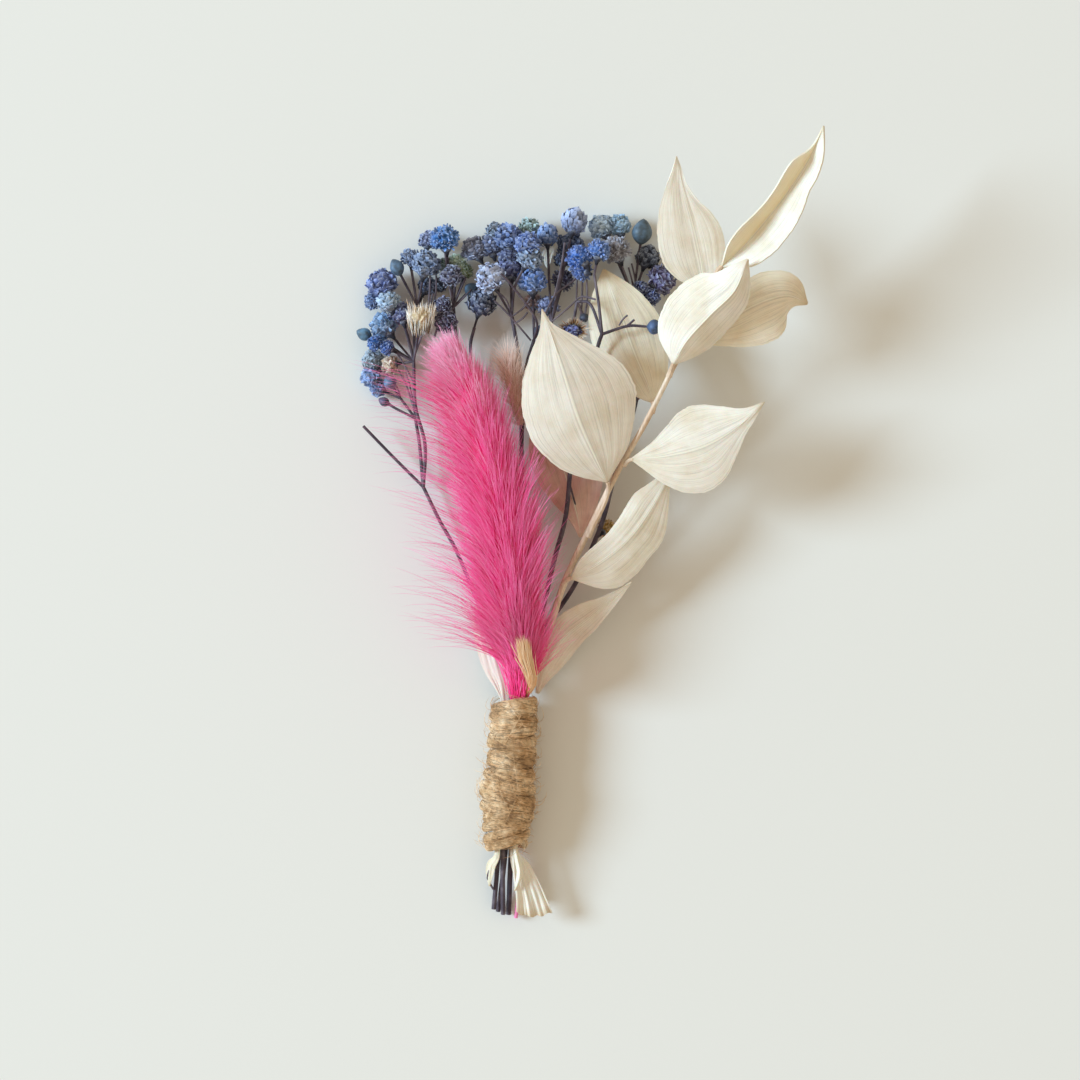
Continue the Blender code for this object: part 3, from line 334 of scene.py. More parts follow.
def makeDyedStemMaterial():
    # Gypsophila stem, dyed with the blooms: dark purple-brown, dry and dull, with paler grey patches.
    material, add = newMaterial("dyedStem")
    coords = add("TexCoord")
    dye = add("Attribute", attribute_name="dye")
    blotch = add("TexNoise", {"Vector": coords, "Scale": 420.0, "Detail": 4.0})
    base = add("ValToRGB", {"Fac": blotch}, stops=(
        (0.32, "#3C343A"), (0.5, "#5A4F57"), (0.7, "#85797E")))
    return finishMaterial(material, add, base, [("MIX", 0.35, dye)], {"Roughness": 0.62},
                          (blotch, 0.4, 0.0001))


def makePetalMaterial():
    # Gypsophila petals, dyed and dried: thin, crumpled and matt. Painted shade darkens the folds near the
    # middle and the petals' roots deep in the head, and painted light brightens the crests; the dye has worn
    # to a paler, greyer edge, and some petals stay nearly undyed.
    material, add = newMaterial("dyedPetal")
    coords = add("TexCoord")
    along, shade, dye = [add("Attribute", attribute_name=key) for key in ("along", "shade", "dye")]
    crumple = add("TexNoise", {"Vector": coords, "Scale": 2600.0, "Detail": 4.0, "Roughness": 0.7})
    # painted shade and light: darker low in the folds and at petal roots, lighter on the crests and petal
    # tips
    creaseShade = add("ValToRGB", {"Fac": (along, "Fac")}, stops=(
        (0.0, 0.2), (0.4, 0.62), (0.75, 1.0), (1.0, 1.3)))
    vary = add("ValToRGB", {"Fac": (shade, "Fac")}, stops=((0.0, 0.55), (0.5, 1.0), (1.0, 1.5)))
    worn = add("Math", {0: (along, "Fac"), 1: crumple}, operation="MULTIPLY")
    wornAmount = add("ValToRGB", {"Fac": worn}, stops=((0.26, 0.0), (0.58, 0.62)))
    speckle = add("ValToRGB", {"Fac": crumple}, stops=((0.34, 0.6), (0.5, 1.0), (0.68, 1.2)))
    layers = [("MULTIPLY", 1.0, creaseShade), ("MULTIPLY", 0.8, vary), ("MIX", wornAmount, hexToLinear("#BFCADC")),
              ("MULTIPLY", 0.8, speckle)]
    return finishMaterial(material, add, dye, layers, {
        "Roughness": 0.75, "Specular IOR Level": 0.25, "Sheen Weight": 0.15}, (crumple, 0.5, 0.0001))


def makeBudMaterial():
    # Closed gypsophila bud: a smooth green calyx under blue dye, with a soft shine and a mottled tone.
    material, add = newMaterial("dyedBud")
    coords = add("TexCoord")
    along, dye = [add("Attribute", attribute_name=key) for key in ("along", "dye")]
    blotch = add("TexNoise", {"Vector": coords, "Scale": 900.0, "Detail": 3.0})
    shift = add("ValToRGB", {"Fac": blotch}, stops=((0.38, 0.4), (0.62, 1.4)))
    ends = add("ValToRGB", {"Fac": (along, "Fac")}, stops=(
        (0.0, 0.45), (0.3, 0.9), (0.7, 1.1), (1.0, 0.6)))
    layers = [("MULTIPLY", 1.0, shift), ("MULTIPLY", 1.0, ends), ("MIX", 0.13, hexToLinear("#9BA7A6"))]
    return finishMaterial(material, add, dye, layers, {"Roughness": 0.5})


def makeHairMaterial(name, root, middle, tip, pale):
    # Silky grass hair: darkest at the root, which is painted shade deep among the hairs, paler towards its
    # tip, with single pale hairs and a soft sheen.
    material, add = newMaterial(name)
    along, shade = [add("Attribute", attribute_name=key) for key in ("along", "shade")]
    length = add("ValToRGB", {"Fac": (along, "Fac")}, stops=((0.0, root), (0.45, middle), (1.0, tip)))
    vary = add("ValToRGB", {"Fac": (shade, "Fac")}, stops=((0.0, 0.0), (0.55, 0.05), (1.0, 0.9)))
    return finishMaterial(material, add, length, [("MIX", vary, hexToLinear(pale))], {
        "Roughness": 0.5, "IOR": 1.5, "Specular IOR Level": 0.3, "Sheen Weight": 0.2, "Sheen Roughness": 0.4})


def makeJuteMaterial():
    # Craft jute, loosely spun from golden-tan bast fibres: rough and dull, with darker brown flecks of bark.
    material, add = newMaterial("spunJute")
    coords = add("TexCoord")
    shade = add("Attribute", attribute_name="shade")
    patches = add("TexNoise", {"Vector": coords, "Scale": 260.0, "Detail": 5.0, "Roughness": 0.65})
    fibres = add("TexNoise", {"Vector": coords, "Scale": 1700.0, "Detail": 2.0})
    base = add("ValToRGB", {"Fac": patches}, stops=(
        (0.3, "#8A6846"), (0.45, "#BE9A70"), (0.6, "#DEC29C"), (0.75, "#F4E8D2")))
    flecks = add("ValToRGB", {"Fac": fibres}, stops=((0.34, 0.45), (0.5, 1.0)))
    vary = add("ValToRGB", {"Fac": (shade, "Fac")}, stops=((0.0, 0.5), (0.5, 1.0), (1.0, 1.35)))
    return finishMaterial(material, add, base, [("MULTIPLY", 0.55, flecks), ("MULTIPLY", 0.9, vary)], {
        "Roughness": 0.88, "IOR": 1.5, "Specular IOR Level": 0.2, "Sheen Weight": 0.15},
        (fibres, 0.6, 0.00015))


leafCream = makeLeafMaterial("bleachedLeafCream", "#FBF5EA", "#F4EDDE", "#E6DAC2")
# the tip leaf: its folded left half is painted a warm tan as shade
leafFolded = makeLeafMaterial("bleachedLeafFolded", "#FBF8EE", "#F4F0E2", "#E6DDC6", leftShadeTint="#FCE8B4")
# A warmer copy of the cream leaf: on the leaves behind and at upper right, which lie in shade, the warmth is
# painted shade; on the scraps at the stem end it is their own tan.
leafTanAndShade = makeLeafMaterial("bleachedLeafTan", "#FDF5E2", "#F6EBD4", "#E6D8BA")
# The shaded leaf under the plume: its pink-brown colours and pink patches are painted pink reflection and
# shade from the plume on a cream leaf.
leafPinkShade = makeLeafMaterial("bleachedLeafPink", "#F5DCCD", "#EAC6B6", "#CB9A8C", patchTint="#CC8088")
leafFrontCream = makeLeafMaterial("bleachedLeafFront", "#EFE8DA", "#E8DECD", "#DCCFB8", patchTint="#E6C9B8",
                                  patchTintShare=0.15)
bleachedStem = makeStemMaterial()
dyedStem = makeDyedStemMaterial()
dyedPetal = makePetalMaterial()
dyedBud = makeBudMaterial()
pinkHair = makeHairMaterial("dyedGrassHair", "#FF2482", "#FF5CAA", "#FF96CA", "#FFCCE2")
tanHair = makeHairMaterial("dryGrassHair", "#D9AC98", "#F8DCCE", "#FFECDF", "#FFF6EC")
goldenFibre = makeHairMaterial("goldenGrassFibre", "#E2A566", "#F3BF86", "#FBDCB4", "#FFEBCF")
spunJute = makeJuteMaterial()
print("materials made")


# ruscus leaves

# Midribs run from base to tip. Widths are of the left and right half at even steps, seen from above looking
# to the tip; tilts are degrees each half rises, at base and tip, and camber bends it on towards its edge.
leafShapes = {
    "leafFront": {
        "material": leafFrontCream,
        "midrib": [(3.3, 8.4, 14.9), (1.2, 12.5, 17.2), (-2.2, 20.0, 19.6), (-4.8, 28.0, 20.6),
                   (-6.9, 34.8, 20.2), (-8.9, 40.4, 19.2)],
        "left": (0.3, 3.9, 7.4, 9.6, 9.5, 8.0, 5.2, 1.9, 0.05),
        "right": (0.3, 4.7, 8.5, 11.5, 12.0, 9.6, 5.2, 1.2, 0.05),
        "tilts": ((-5, -13), (0, -3)), "camber": -10, "wave": 0.3},
    "leafBehind": {
        "material": leafTanAndShade,
        "midrib": [(11.9, 23.2, 15.7), (10.8, 27.0, 14.0), (8.4, 33.0, 11.4), (6.0, 40.0, 9.0),
                   (2.8, 48.8, 7.6)],
        "left": (0.3, 2.6, 3.8, 5.0, 6.0, 6.8, 6.4, 4.4, 0.2),
        "right": (0.3, 1.8, 3.8, 5.6, 6.7, 7.0, 6.2, 4.0, 0.2),
        "tilts": ((0, 4), (-6, 4)), "camber": -14, "wave": 0.3},
    "leafUpperFront": {
        "material": leafCream,
        "midrib": [(15.5, 30.2, 20.0), (18.0, 34.4, 22.0), (22.2, 39.0, 23.4), (26.6, 43.4, 24.6),
                   (29.0, 49.2, 25.0)],
        "left": (0.3, 4.8, 7.2, 8.4, 8.4, 7.6, 6.2, 3.8, 0.1),
        "right": (0.3, 3.8, 5.2, 5.7, 5.8, 5.5, 4.6, 2.6, 0.1),
        "tilts": ((-6, -14), (-24, -40)), "camber": -26, "wave": 0.3},
    "leafUpperLeft": {
        "material": leafCream,
        "midrib": [(21.5, 43.6, 18.3), (20.6, 50.0, 17.4), (19.0, 57.0, 17.6), (17.2, 63.5, 18.2),
                   (16.1, 68.8, 19.6)],
        "left": (0.3, 5.0, 6.9, 7.2, 6.7, 5.4, 3.4, 1.5, 0.05),
        "right": (0.3, 3.8, 4.8, 5.2, 4.3, 2.2, 1.0, 0.6, 0.05),
        "tilts": ((12, 18), (4, 6)), "camber": -16, "wave": 0.35},
    "leafTip": {
        "material": leafFolded,
        "midrib": [(24.6, 48.3, 20.4), (28.6, 52.2, 21.0), (33.4, 57.8, 22.0), (37.4, 63.2, 23.4),
                   (40.4, 68.0, 25.0), (42.8, 73.4, 27.4)],
        "left": (0.3, 3.6, 4.6, 3.9, 3.8, 4.4, 4.3, 0.9, 0.05),
        "right": (0.3, 4.2, 6.0, 6.3, 5.7, 4.3, 3.9, 2.6, 0.05),
        "tilts": ((48, 50), (24, 36)), "camber": 14, "wave": 0.4},
    "leafUpperRight": {
        "material": leafTanAndShade,
        "midrib": [(18.8, 34.0, 17.8), (24.6, 37.6, 17.2), (31.0, 41.4, 16.8), (36.8, 43.2, 15.2),
                   (41.0, 41.9, 13.2)],
        "left": (0.3, 2.5, 3.9, 4.7, 5.2, 5.7, 5.2, 3.4, 0.2),
        "right": (0.3, 2.4, 4.8, 6.9, 7.5, 7.0, 5.0, 1.8, 0.2),
        "tilts": ((-22, -14), (8, -8)), "camber": -10, "wave": 0.4},
    "leafRight": {
        "material": leafCream,
        "midrib": [(8.0, 12.6, 15.3), (14.5, 13.2, 17.0), (21.5, 15.0, 18.4), (27.6, 18.6, 19.2),
                   (32.4, 23.1, 20.4)],
        "left": (0.3, 2.4, 4.8, 7.3, 7.9, 7.0, 4.6, 1.7, 0.05),
        "right": (0.3, 3.2, 6.4, 8.2, 7.8, 4.9, 2.3, 1.1, 0.05),
        "tilts": ((6, 4), (4, -18)), "camber": -16, "wave": 0.4},
    "leafLowerRight": {
        "material": leafCream,
        "midrib": [(-3.2, -9.8, 10.6), (1.6, -7.2, 11.2), (7.2, -2.6, 12.4), (12.0, 4.0, 13.4),
                   (16.1, 11.8, 14.4)],
        "left": (0.3, 2.4, 3.2, 3.5, 3.8, 4.1, 4.2, 2.2, 0.05),
        "right": (0.3, 3.1, 5.8, 6.2, 5.7, 5.6, 3.6, 1.3, 0.05),
        "tilts": ((20, 14), (-4, -26)), "camber": -14, "wave": 0.5},
    "leafLowRight": {
        "material": leafCream,
        "midrib": [(-9.8, -31.8, 4.8), (-8.3, -27.0, 4.0), (-5.3, -21.6, 4.3), (0.4, -16.8, 6.2),
                   (8.1, -10.5, 9.4)],
        "left": (0.3, 0.9, 1.8, 2.7, 3.3, 3.7, 3.2, 1.2, 0.05),
        "right": (0.3, 1.3, 2.5, 3.4, 3.6, 3.2, 2.6, 1.5, 0.05),
        "tilts": ((0, 20), (-12, -20)), "camber": 10, "wave": 0.4},
    "leafLowLeft": {
        "material": leafCream,
        "midrib": [(-16.1, -35.4, 6.3), (-16.5, -30.4, 5.6), (-17.8, -26.0, 4.7), (-19.0, -20.0, 3.9),
                   (-20.4, -12.0, 3.4)],
        "left": (0.3, 0.5, 1.4, 2.1, 2.6, 2.9, 3.0, 2.2, 0.1),
        "right": (0.8, 1.6, 1.7, 1.9, 2.6, 3.2, 3.1, 2.2, 0.1),
        "tilts": ((4, 0), (-4, 0)), "camber": -8, "wave": 0.2},
    "leafShaded": {
        "material": leafPinkShade,
        "midrib": [(-1.6, -2.0, 8.8), (-2.2, 2.0, 7.4), (-4.2, 9.0, 6.4), (-6.4, 16.5, 6.0),
                   (-8.2, 24.0, 6.4)],
        "left": (0.3, 0.9, 1.9, 3.6, 5.1, 5.6, 5.2, 3.4, 0.2),
        "right": (0.3, 1.6, 3.4, 5.7, 7.2, 7.4, 6.2, 3.8, 0.2),
        "tilts": ((0, 0), (6, 4)), "camber": -8, "wave": 0.3},
    "leafEndScrap": {
        "material": leafTanAndShade,
        "midrib": [(-17.2, -57.6, 5.5), (-17.5, -62.6, 5.3), (-18.7, -65.0, 4.6), (-18.9, -68.6, 4.0)],
        "left": (0.3, 0.6, 1.0, 0.1), "right": (0.3, 0.6, 1.0, 0.1),
        "tilts": ((30, 30), (-30, -30)), "camber": 0, "wave": 0.0},
    "leafEndFold": {
        "nodes": ["leaf_end_fan"], "material": leafTanAndShade,
        "midrib": [(-14.2, -60.2, 6.4), (-13.5, -63.2, 7.0), (-13.1, -66.2, 6.9), (-14.0, -69.2, 6.0)],
        "left": (0.4, 0.6, 0.8, 0.6, 0.1), "right": (0.4, 0.6, 0.9, 0.8, 0.1),
        "tilts": ((-50, -40), (-30, -50)), "camber": -20, "wave": 0.1},
    "petalSliver": {
        "material": leafCream,
        "midrib": [(-6.4, 53.9, 4.6), (-7.5, 52.6, 3.9), (-7.9, 51.1, 3.8), (-7.6, 49.2, 3.8)],
        "left": (0.2, 0.9, 1.0, 0.7, 0.1), "right": (0.2, 0.9, 1.0, 0.7, 0.1),
        "tilts": ((10, 10), (10, 10)), "camber": 0, "wave": 0.0},
}
leafFinish = {"thickness": 0.3, "lengthwise": 44, "across": 26, "veinRelief": 0.12, "veins": 5.5,
              "ribRelief": 0.22, "ribHalfWidth": 0.35, "ragged": 0.015}


def bladePoint(leaf, u, v):
    # u runs from base to tip, v from the left edge at -1 to the right edge at 1
    centre = curvePoint(leaf["points"], u)
    heading = curveHeading(leaf["points"], u)
    left = up.cross(heading).normalized()
    above = heading.cross(left).normalized()
    side = 0 if v < 0 else 1
    reach = abs(v)
    edge = 1 + leafFinish["ragged"] * math.sin(37 * u + 9 * side) * math.sin(83 * u + 2) * reach
    half = max(0.02, curveValue(leaf["left" if side == 0 else "right"], u)) * reach * edge
    base, tip = leaf["tilts"][side]
    angle = math.radians(base + (tip - base) * u + leaf["camber"] * reach / 2)
    ripple = leaf["wave"] * reach * reach
    ripple *= math.sin(math.tau * (1.3 * u + 0.3 * side)) * math.sin(math.pi * u)
    fade = math.sin(math.pi * min(1.0, u * 1.02)) ** 0.5
    wrinkle = noise.noise(Vector((4 * u + leaf["seed"], leafFinish["veins"] * reach + 20 * side, 0.0)))
    ripple += leafFinish["veinRelief"] * wrinkle * fade
    ripple += leafFinish["ribRelief"] * math.exp(-(half / leafFinish["ribHalfWidth"]) ** 2) * fade
    outwards = left if side == 0 else -left
    return centre + (outwards * (half * math.cos(angle)) + above * (half * math.sin(angle) + ripple)) * mm


def makeBlade(name, pointAt, columns, rows, material, nodes=None):
    bpy.ops.mesh.primitive_grid_add(x_subdivisions=columns, y_subdivisions=rows, size=2)
    obj = bpy.context.object
    obj.name = name
    for vertex in obj.data.vertices:
        vertex.co = pointAt((vertex.co.x + 1) / 2, -vertex.co.y)
    wall = obj.modifiers.new("blade", "SOLIDIFY")
    wall.thickness = leafFinish["thickness"] * mm
    wall.offset = 0
    applyAll(obj)
    finishPiece(obj, material, nodes, sharpAngle=50)


for leafName, leaf in leafShapes.items():
    leaf["points"] = places(leaf["midrib"])
    leaf["seed"] = len(leafName) * 3.7
    makeBlade(leafName, lambda u, v: bladePoint(leaf, u, v), leafFinish["lengthwise"], leafFinish["across"],
              leaf["material"], leaf.get("nodes"))
print("leaves made")


# pleated leaf end below the binding

fan = {
    "line": [(-14.0, -59.4, 5.8), (-13.9, -61.8, 5.7), (-12.9, -64.2, 5.6), (-11.9, -67.6, 5.2),
             (-11.0, -70.8, 4.8), (-10.3, -74.0, 4.6)],
    "halfWidths": (0.35, 0.4, 1.5, 2.3, 2.8, 3.4), "pleats": 2.5, "pleatHeight": 0.13, "crinkle": 0.32,
    "ripple": 0.05, "hemBend": 0.8, "hemWave": 0.18, "slope": 0.6, "lengthwise": 30, "across": 56,
}


def fanPoint(u, v):
    centre = curvePoint(fan["linePoints"], u)
    half = curveValue(fan["halfWidths"], u)
    fold = math.cos(math.pi * fan["pleats"] * (v + 1) + 0.8 * math.sin(3.1 * v + 1.2))
    pleat = fan["pleatHeight"] * max(0.0, u - 0.15) * (1.2 + 0.4 * math.sin(2.6 * v)) * fold
    fine = fan["crinkle"] * u * noise.noise(Vector((0.7 * u, 6.5 * v, 3.0)))
    fine += fan["ripple"] * math.sin(17 * u + 6 * v)
    hem = fan["hemBend"] * u * (v * v - 0.4) + fan["hemWave"] * u * math.sin(11 * v)
    return centre + Vector((half * v, hem, pleat + fine - fan["slope"] * u * v)) * mm


fan["linePoints"] = places(fan["line"])
makeBlade("leafEndFan", fanPoint, fan["lengthwise"], fan["across"], leafCream)


# ruscus stem

ruscus = {
    "route": [(-12.0, -71.4, 2.7), (-14.25, -62.0, 4.15), (-13.475, -47.25, 4.7), (-12.7, -32.5, 5.25),
              (-10.0, -26.0, 5.9), (-7.4, -19.0, 7.2), (-4.4, -10.0, 9.2), (0.3, 0.0, 11.5),
              (5.2, 10.0, 14.0), (10.8, 20.0, 16.4), (15.8, 30.0, 18.4), (20.0, 38.0, 19.2),
              (24.0, 48.0, 19.8)],
    "startRadius": 0.88, "endRadius": 0.4, "knots": 0.05, "grooves": 0.05, "steps": 150,
    "footRadii": (0.36, 0.62),
}
# each leaf stands on a short foot that runs down into the stem
feet = {
    "leafFront": [(3.4, 8.3, 14.8), (3.6, 6.6, 13.6), (2.4, 3.4, 12.6), (0.9, 0.6, 11.9), (-0.2, -2.0, 11.3)],
    "leafBehind": [(11.8, 23.4, 15.8), (12.0, 22.4, 16.5), (11.6, 21.2, 16.7)],
    "leafUpperFront": [(15.5, 30.3, 20.0), (15.2, 29.2, 19.2), (14.8, 28.0, 18.2)],
    "leafUpperLeft": [(21.5, 43.8, 18.3), (21.7, 42.9, 18.9), (21.6, 42.0, 19.4)],
    "leafTip": [(24.8, 48.5, 20.4), (24.3, 48.0, 20.0), (23.7, 47.1, 19.8)],
    "leafUpperRight": [(19.0, 34.1, 17.8), (18.4, 33.7, 18.4), (17.7, 33.2, 18.8)],
    "leafRight": [(8.2, 12.6, 15.3), (7.2, 12.3, 14.9), (6.4, 11.5, 14.4)],
    "leafLowerRight": [(-3.0, -9.7, 10.6), (-4.0, -10.0, 10.0), (-4.9, -10.9, 9.1)],
}
stemBundle = newBundle()
ruscusRoute = places(ruscus["route"])
stemShares = evenShares(ruscus["steps"])
stemRadii = [(ruscus["startRadius"] + (ruscus["endRadius"] - ruscus["startRadius"]) * u) * mm
             * (1 + ruscus["knots"] * math.sin(90 * u) * math.sin(31 * u)) for u in stemShares]
addTube(stemBundle, [curvePoint(ruscusRoute, u) for u in stemShares], stemRadii, 16,
        lobes=lambda i, angle: 1 + ruscus["grooves"] * math.cos(6 * angle + 0.05 * i))
for foot in feet.values():
    smoothTube(stemBundle, places(foot), *ruscus["footRadii"], 8, 8)
bundlePiece("ruscusStem", stemBundle, bleachedStem)
print("ruscus made")


# gypsophila

stemDye = {"plain": hexToLinear("#3E3548"), "light": hexToLinear("#6E6470")}
# where the stems run through the binding: its middle line, and how far aside and above it each stem is
bore = {"top": Vector((-14.05, -32.5, 5.6)), "end": Vector((-15.6, -62.0, 4.5)),
        "left": (-1.6, -1.1), "middle": (-0.75, 0.35), "front": (-0.25, -1.2), "right": (0.8, -1.95)}


def boreRun(name):
    across, above = bore[name]
    aside = Vector((across, 0.0, above))
    return [tuple(bore["top"].lerp(bore["end"], share) + aside) for share in (1.0, 0.5, 0.0)]


# fine side twigs, which only the scene shows
twigs = {
    "gypsophilaLeft": [
        [(-29.6, 45.6, 2.6), (-30.4, 41.0, 4.4), (-31.6, 37.0, 5.0), (-33.2, 32.5, 5.4)],
        [(-29.0, 49.0, 5.0), (-29.2, 44.0, 5.2), (-30.6, 38.5, 5.0)],
        [(-30.2, 48.0, 5.4), (-30.4, 43.0, 5.8), (-31.4, 37.6, 5.4)],
        [(-36.3, 30.0, 4.6), (-34.6, 26.5, 4.4), (-33.0, 21.0, 3.6)],
        [(-38.6, 29.2, 2.6), (-36.6, 26.6, 3.0), (-35.9, 24.5, 3.4)],
        [(-37.6, 35.0, 4.6), (-35.6, 31.6, 5.0), (-33.0, 27.0, 5.2)],
        [(-34.9, 29.4, 4.4), (-33.9, 26.0, 4.6), (-33.2, 21.4, 3.8)],
        [(-17.2, -61.0, 5.0), (-18.4, -64.4, 4.8), (-19.3, -66.9, 4.2), (-18.2, -69.3, 3.4)]],
    "gypsophilaUpper": [
        [(-22.3, 45.3, 4.6), (-25.2, 42.2, 5.2), (-28.2, 39.3, 5.6), (-29.4, 36.0, 5.2)],
        [(-27.4, 52.4, 6.6), (-26.7, 47.0, 6.4), (-25.9, 42.6, 5.2)],
        [(-23.4, 47.6, 4.0), (-24.8, 44.4, 4.0), (-25.8, 42.0, 3.8)]],
    "gypsophilaMiddle": [
        [(-18.0, 42.9, 7.6), (-15.6, 40.6, 8.0), (-12.9, 37.6, 7.0), (-11.0, 35.4, 6.2)],
        [(-14.6, 40.0, 5.6), (-12.4, 41.6, 6.6), (-10.9, 43.6, 7.0)],
        [(-17.8, 45.0, 8.6), (-15.6, 42.8, 8.4), (-14.4, 39.4, 6.2)],
        [(-14.2, 38.6, 5.4), (-12.6, 39.6, 5.8), (-11.6, 40.8, 6.0)]],
    "gypsophilaRight": [
        [(-6.6, 43.4, 9.8), (-5.8, 46.6, 10.6), (-5.1, 50.0, 11.0), (-4.6, 53.6, 10.6)],
        [(-8.4, 40.0, 9.4), (-6.4, 43.8, 9.6), (-3.6, 46.0, 9.2), (-1.6, 47.6, 9.0)],
        [(-6.9, 38.8, 9.8), (-3.6, 41.6, 10.2), (-1.4, 43.4, 10.4), (1.2, 42.8, 11.4)],
        [(-2.2, 47.0, 7.6), (-2.4, 42.6, 7.8), (-2.9, 39.0, 8.2)],
        [(-1.2, 46.8, 8.0), (-1.3, 42.8, 8.0), (-1.6, 39.4, 8.0)],
        [(-0.4, 46.8, 8.4), (-0.3, 43.0, 8.2), (-0.8, 39.8, 8.0)],
        [(5.6, 37.8, 12.8), (6.4, 39.0, 13.2), (7.2, 39.7, 13.4)]],
    "gypsophilaFarRight": [
        [(7.6, 49.4, 5.2), (8.4, 46.4, 4.6), (8.8, 43.6, 3.8)],
        [(6.4, 49.6, 5.6), (7.4, 46.8, 5.0), (8.4, 44.2, 4.0)],
        [(8.2, 50.2, 4.6), (8.9, 47.2, 4.2), (8.9, 44.4, 3.6)],
        [(13.0, 45.0, 4.2), (11.0, 42.6, 4.4), (10.0, 39.6, 4.2)],
        [(0.6, -1.4, 6.0), (-1.4, 1.0, 6.4), (-2.6, 4.4, 7.2), (-3.6, 8.0, 8.6)]],
}
# each branch: its radius at both ends and the points it passes
sprays = {
    "gypsophilaLeft": [
        (0.55, 0.4, [(-18.1, -73.2, 2.5)] + boreRun("left") + [
            (-17.3, -26.5, 2.0), (-19.4, -19.0, 1.1), (-22.6, -11.0, 1.1), (-25.6, -4.0, 1.6),
            (-28.4, 1.0, 2.0), (-31.6, 7.6, 2.6)]),
        (0.36, 0.34, [(-31.6, 7.6, 2.6), (-37.4, 13.4, 3.2), (-43.0, 19.2, 4.2)]),
        (0.42, 0.36, [(-31.6, 7.6, 2.6), (-32.3, 15.6, 2.8), (-33.1, 20.7, 3.0)]),
        (0.3, 0.3, [(-33.1, 20.7, 3.0), (-37.2, 22.8, 3.0), (-38.6, 24.0, 3.0)]),
        (0.3, 0.3, [(-33.1, 20.7, 3.0), (-35.9, 24.5, 3.4)]),
        (0.42, 0.36, [(-31.6, 7.6, 2.6), (-31.2, 15.6, 4.2), (-33.0, 23.0, 5.0), (-33.3, 31.4, 5.6)]),
        (0.34, 0.3, [(-33.3, 31.4, 5.6), (-33.2, 37.5, 3.6), (-32.7, 42.0, 3.6)]),
        (0.32, 0.3, [(-33.3, 31.4, 5.6), (-34.6, 36.6, 2.3), (-36.6, 41.5, 1.5)])],
    "gypsophilaUpper": [
        (0.55, 0.5, [(-16.3, -74.2, 2.4)] + boreRun("middle") + [
            (-15.1, -27.0, 3.4), (-16.2, -20.0, 1.6), (-18.2, -5.0, 1.2), (-20.4, 10.0, 1.3)]),
        (0.42, 0.36, [(-20.4, 10.0, 1.3), (-23.2, 24.0, 1.8), (-25.0, 34.5, 3.2), (-25.8, 42.0, 3.6)]),
        (0.38, 0.36, [(-20.4, 10.0, 1.3), (-21.8, 24.0, 1.4), (-22.6, 33.7, 3.0), (-21.8, 38.0, 4.0)])],
    "gypsophilaMiddle": [
        (0.55, 0.5, [(-17.3, -73.8, 0.9)] + boreRun("front") + [
            (-13.7, -26.0, 2.4), (-13.2, -15.0, 1.3), (-12.9, 0.0, 1.4), (-12.8, 15.0, 2.2)]),
        (0.48, 0.42, [(-12.8, 15.0, 2.2), (-13.0, 29.7, 4.0), (-14.6, 40.0, 5.4)]),
        (0.42, 0.38, [(-12.8, 15.0, 2.2), (-12.1, 29.0, 4.8), (-10.4, 35.6, 5.8)]),
        (0.3, 0.26, [(-10.4, 35.6, 5.8), (-10.0, 39.2, 9.0), (-14.4, 45.2, 11.6), (-16.6, 47.6, 12.4)])],
    "gypsophilaRight": [
        (0.6, 0.55, [(-15.3, -74.4, 0.9)] + boreRun("right") + [(-11.8, -26.0, 3.2), (-9.6, -20.0, 4.0)]),
        (0.55, 0.52, [(-9.6, -20.0, 4.0), (-7.9, -12.0, 5.8), (-6.2, -5.0, 7.2), (-4.8, 0.0, 8.4),
                      (-4.1, 4.0, 9.0), (-3.6, 10.2, 9.8)]),
        (0.48, 0.42, [(-3.6, 10.2, 9.8), (-1.6, 22.0, 11.0), (1.5, 33.4, 12.0), (2.4, 36.2, 12.2)]),
        (0.36, 0.3, [(2.4, 36.2, 12.2), (1.8, 42.0, 11.8), (1.0, 47.4, 11.2)]),
        (0.36, 0.3, [(2.4, 36.2, 12.2), (0.3, 41.9, 10.6), (-2.2, 42.6, 9.0)]),
        (0.36, 0.3, [(2.4, 36.2, 12.2), (7.2, 37.7, 12.6), (10.6, 37.6, 12.9)]),
        (0.3, 0.24, [(7.0, 37.6, 12.6), (8.5, 38.9, 12.9)]),
        (0.42, 0.36, [(-3.6, 10.2, 9.8), (-5.2, 25.0, 9.4), (-7.1, 38.4, 9.6)])],
    "gypsophilaFarRight": [
        (0.55, 0.52, [(-9.6, -20.0, 2.6), (-5.9, -16.0, 3.6), (-2.6, -11.0, 4.8), (0.2, -5.0, 6.0),
                      (2.8, 1.6, 7.0), (4.6, 8.6, 8.0), (7.6, 18.6, 8.4), (9.0, 24.0, 8.0)]),
        (0.46, 0.4, [(9.0, 24.0, 8.0), (10.4, 31.0, 5.6), (10.0, 38.5, 3.6), (8.6, 44.0, 3.2)]),
        (0.36, 0.3, [(9.0, 24.0, 8.0), (12.4, 27.0, 9.4), (14.8, 28.6, 10.6)])],
}
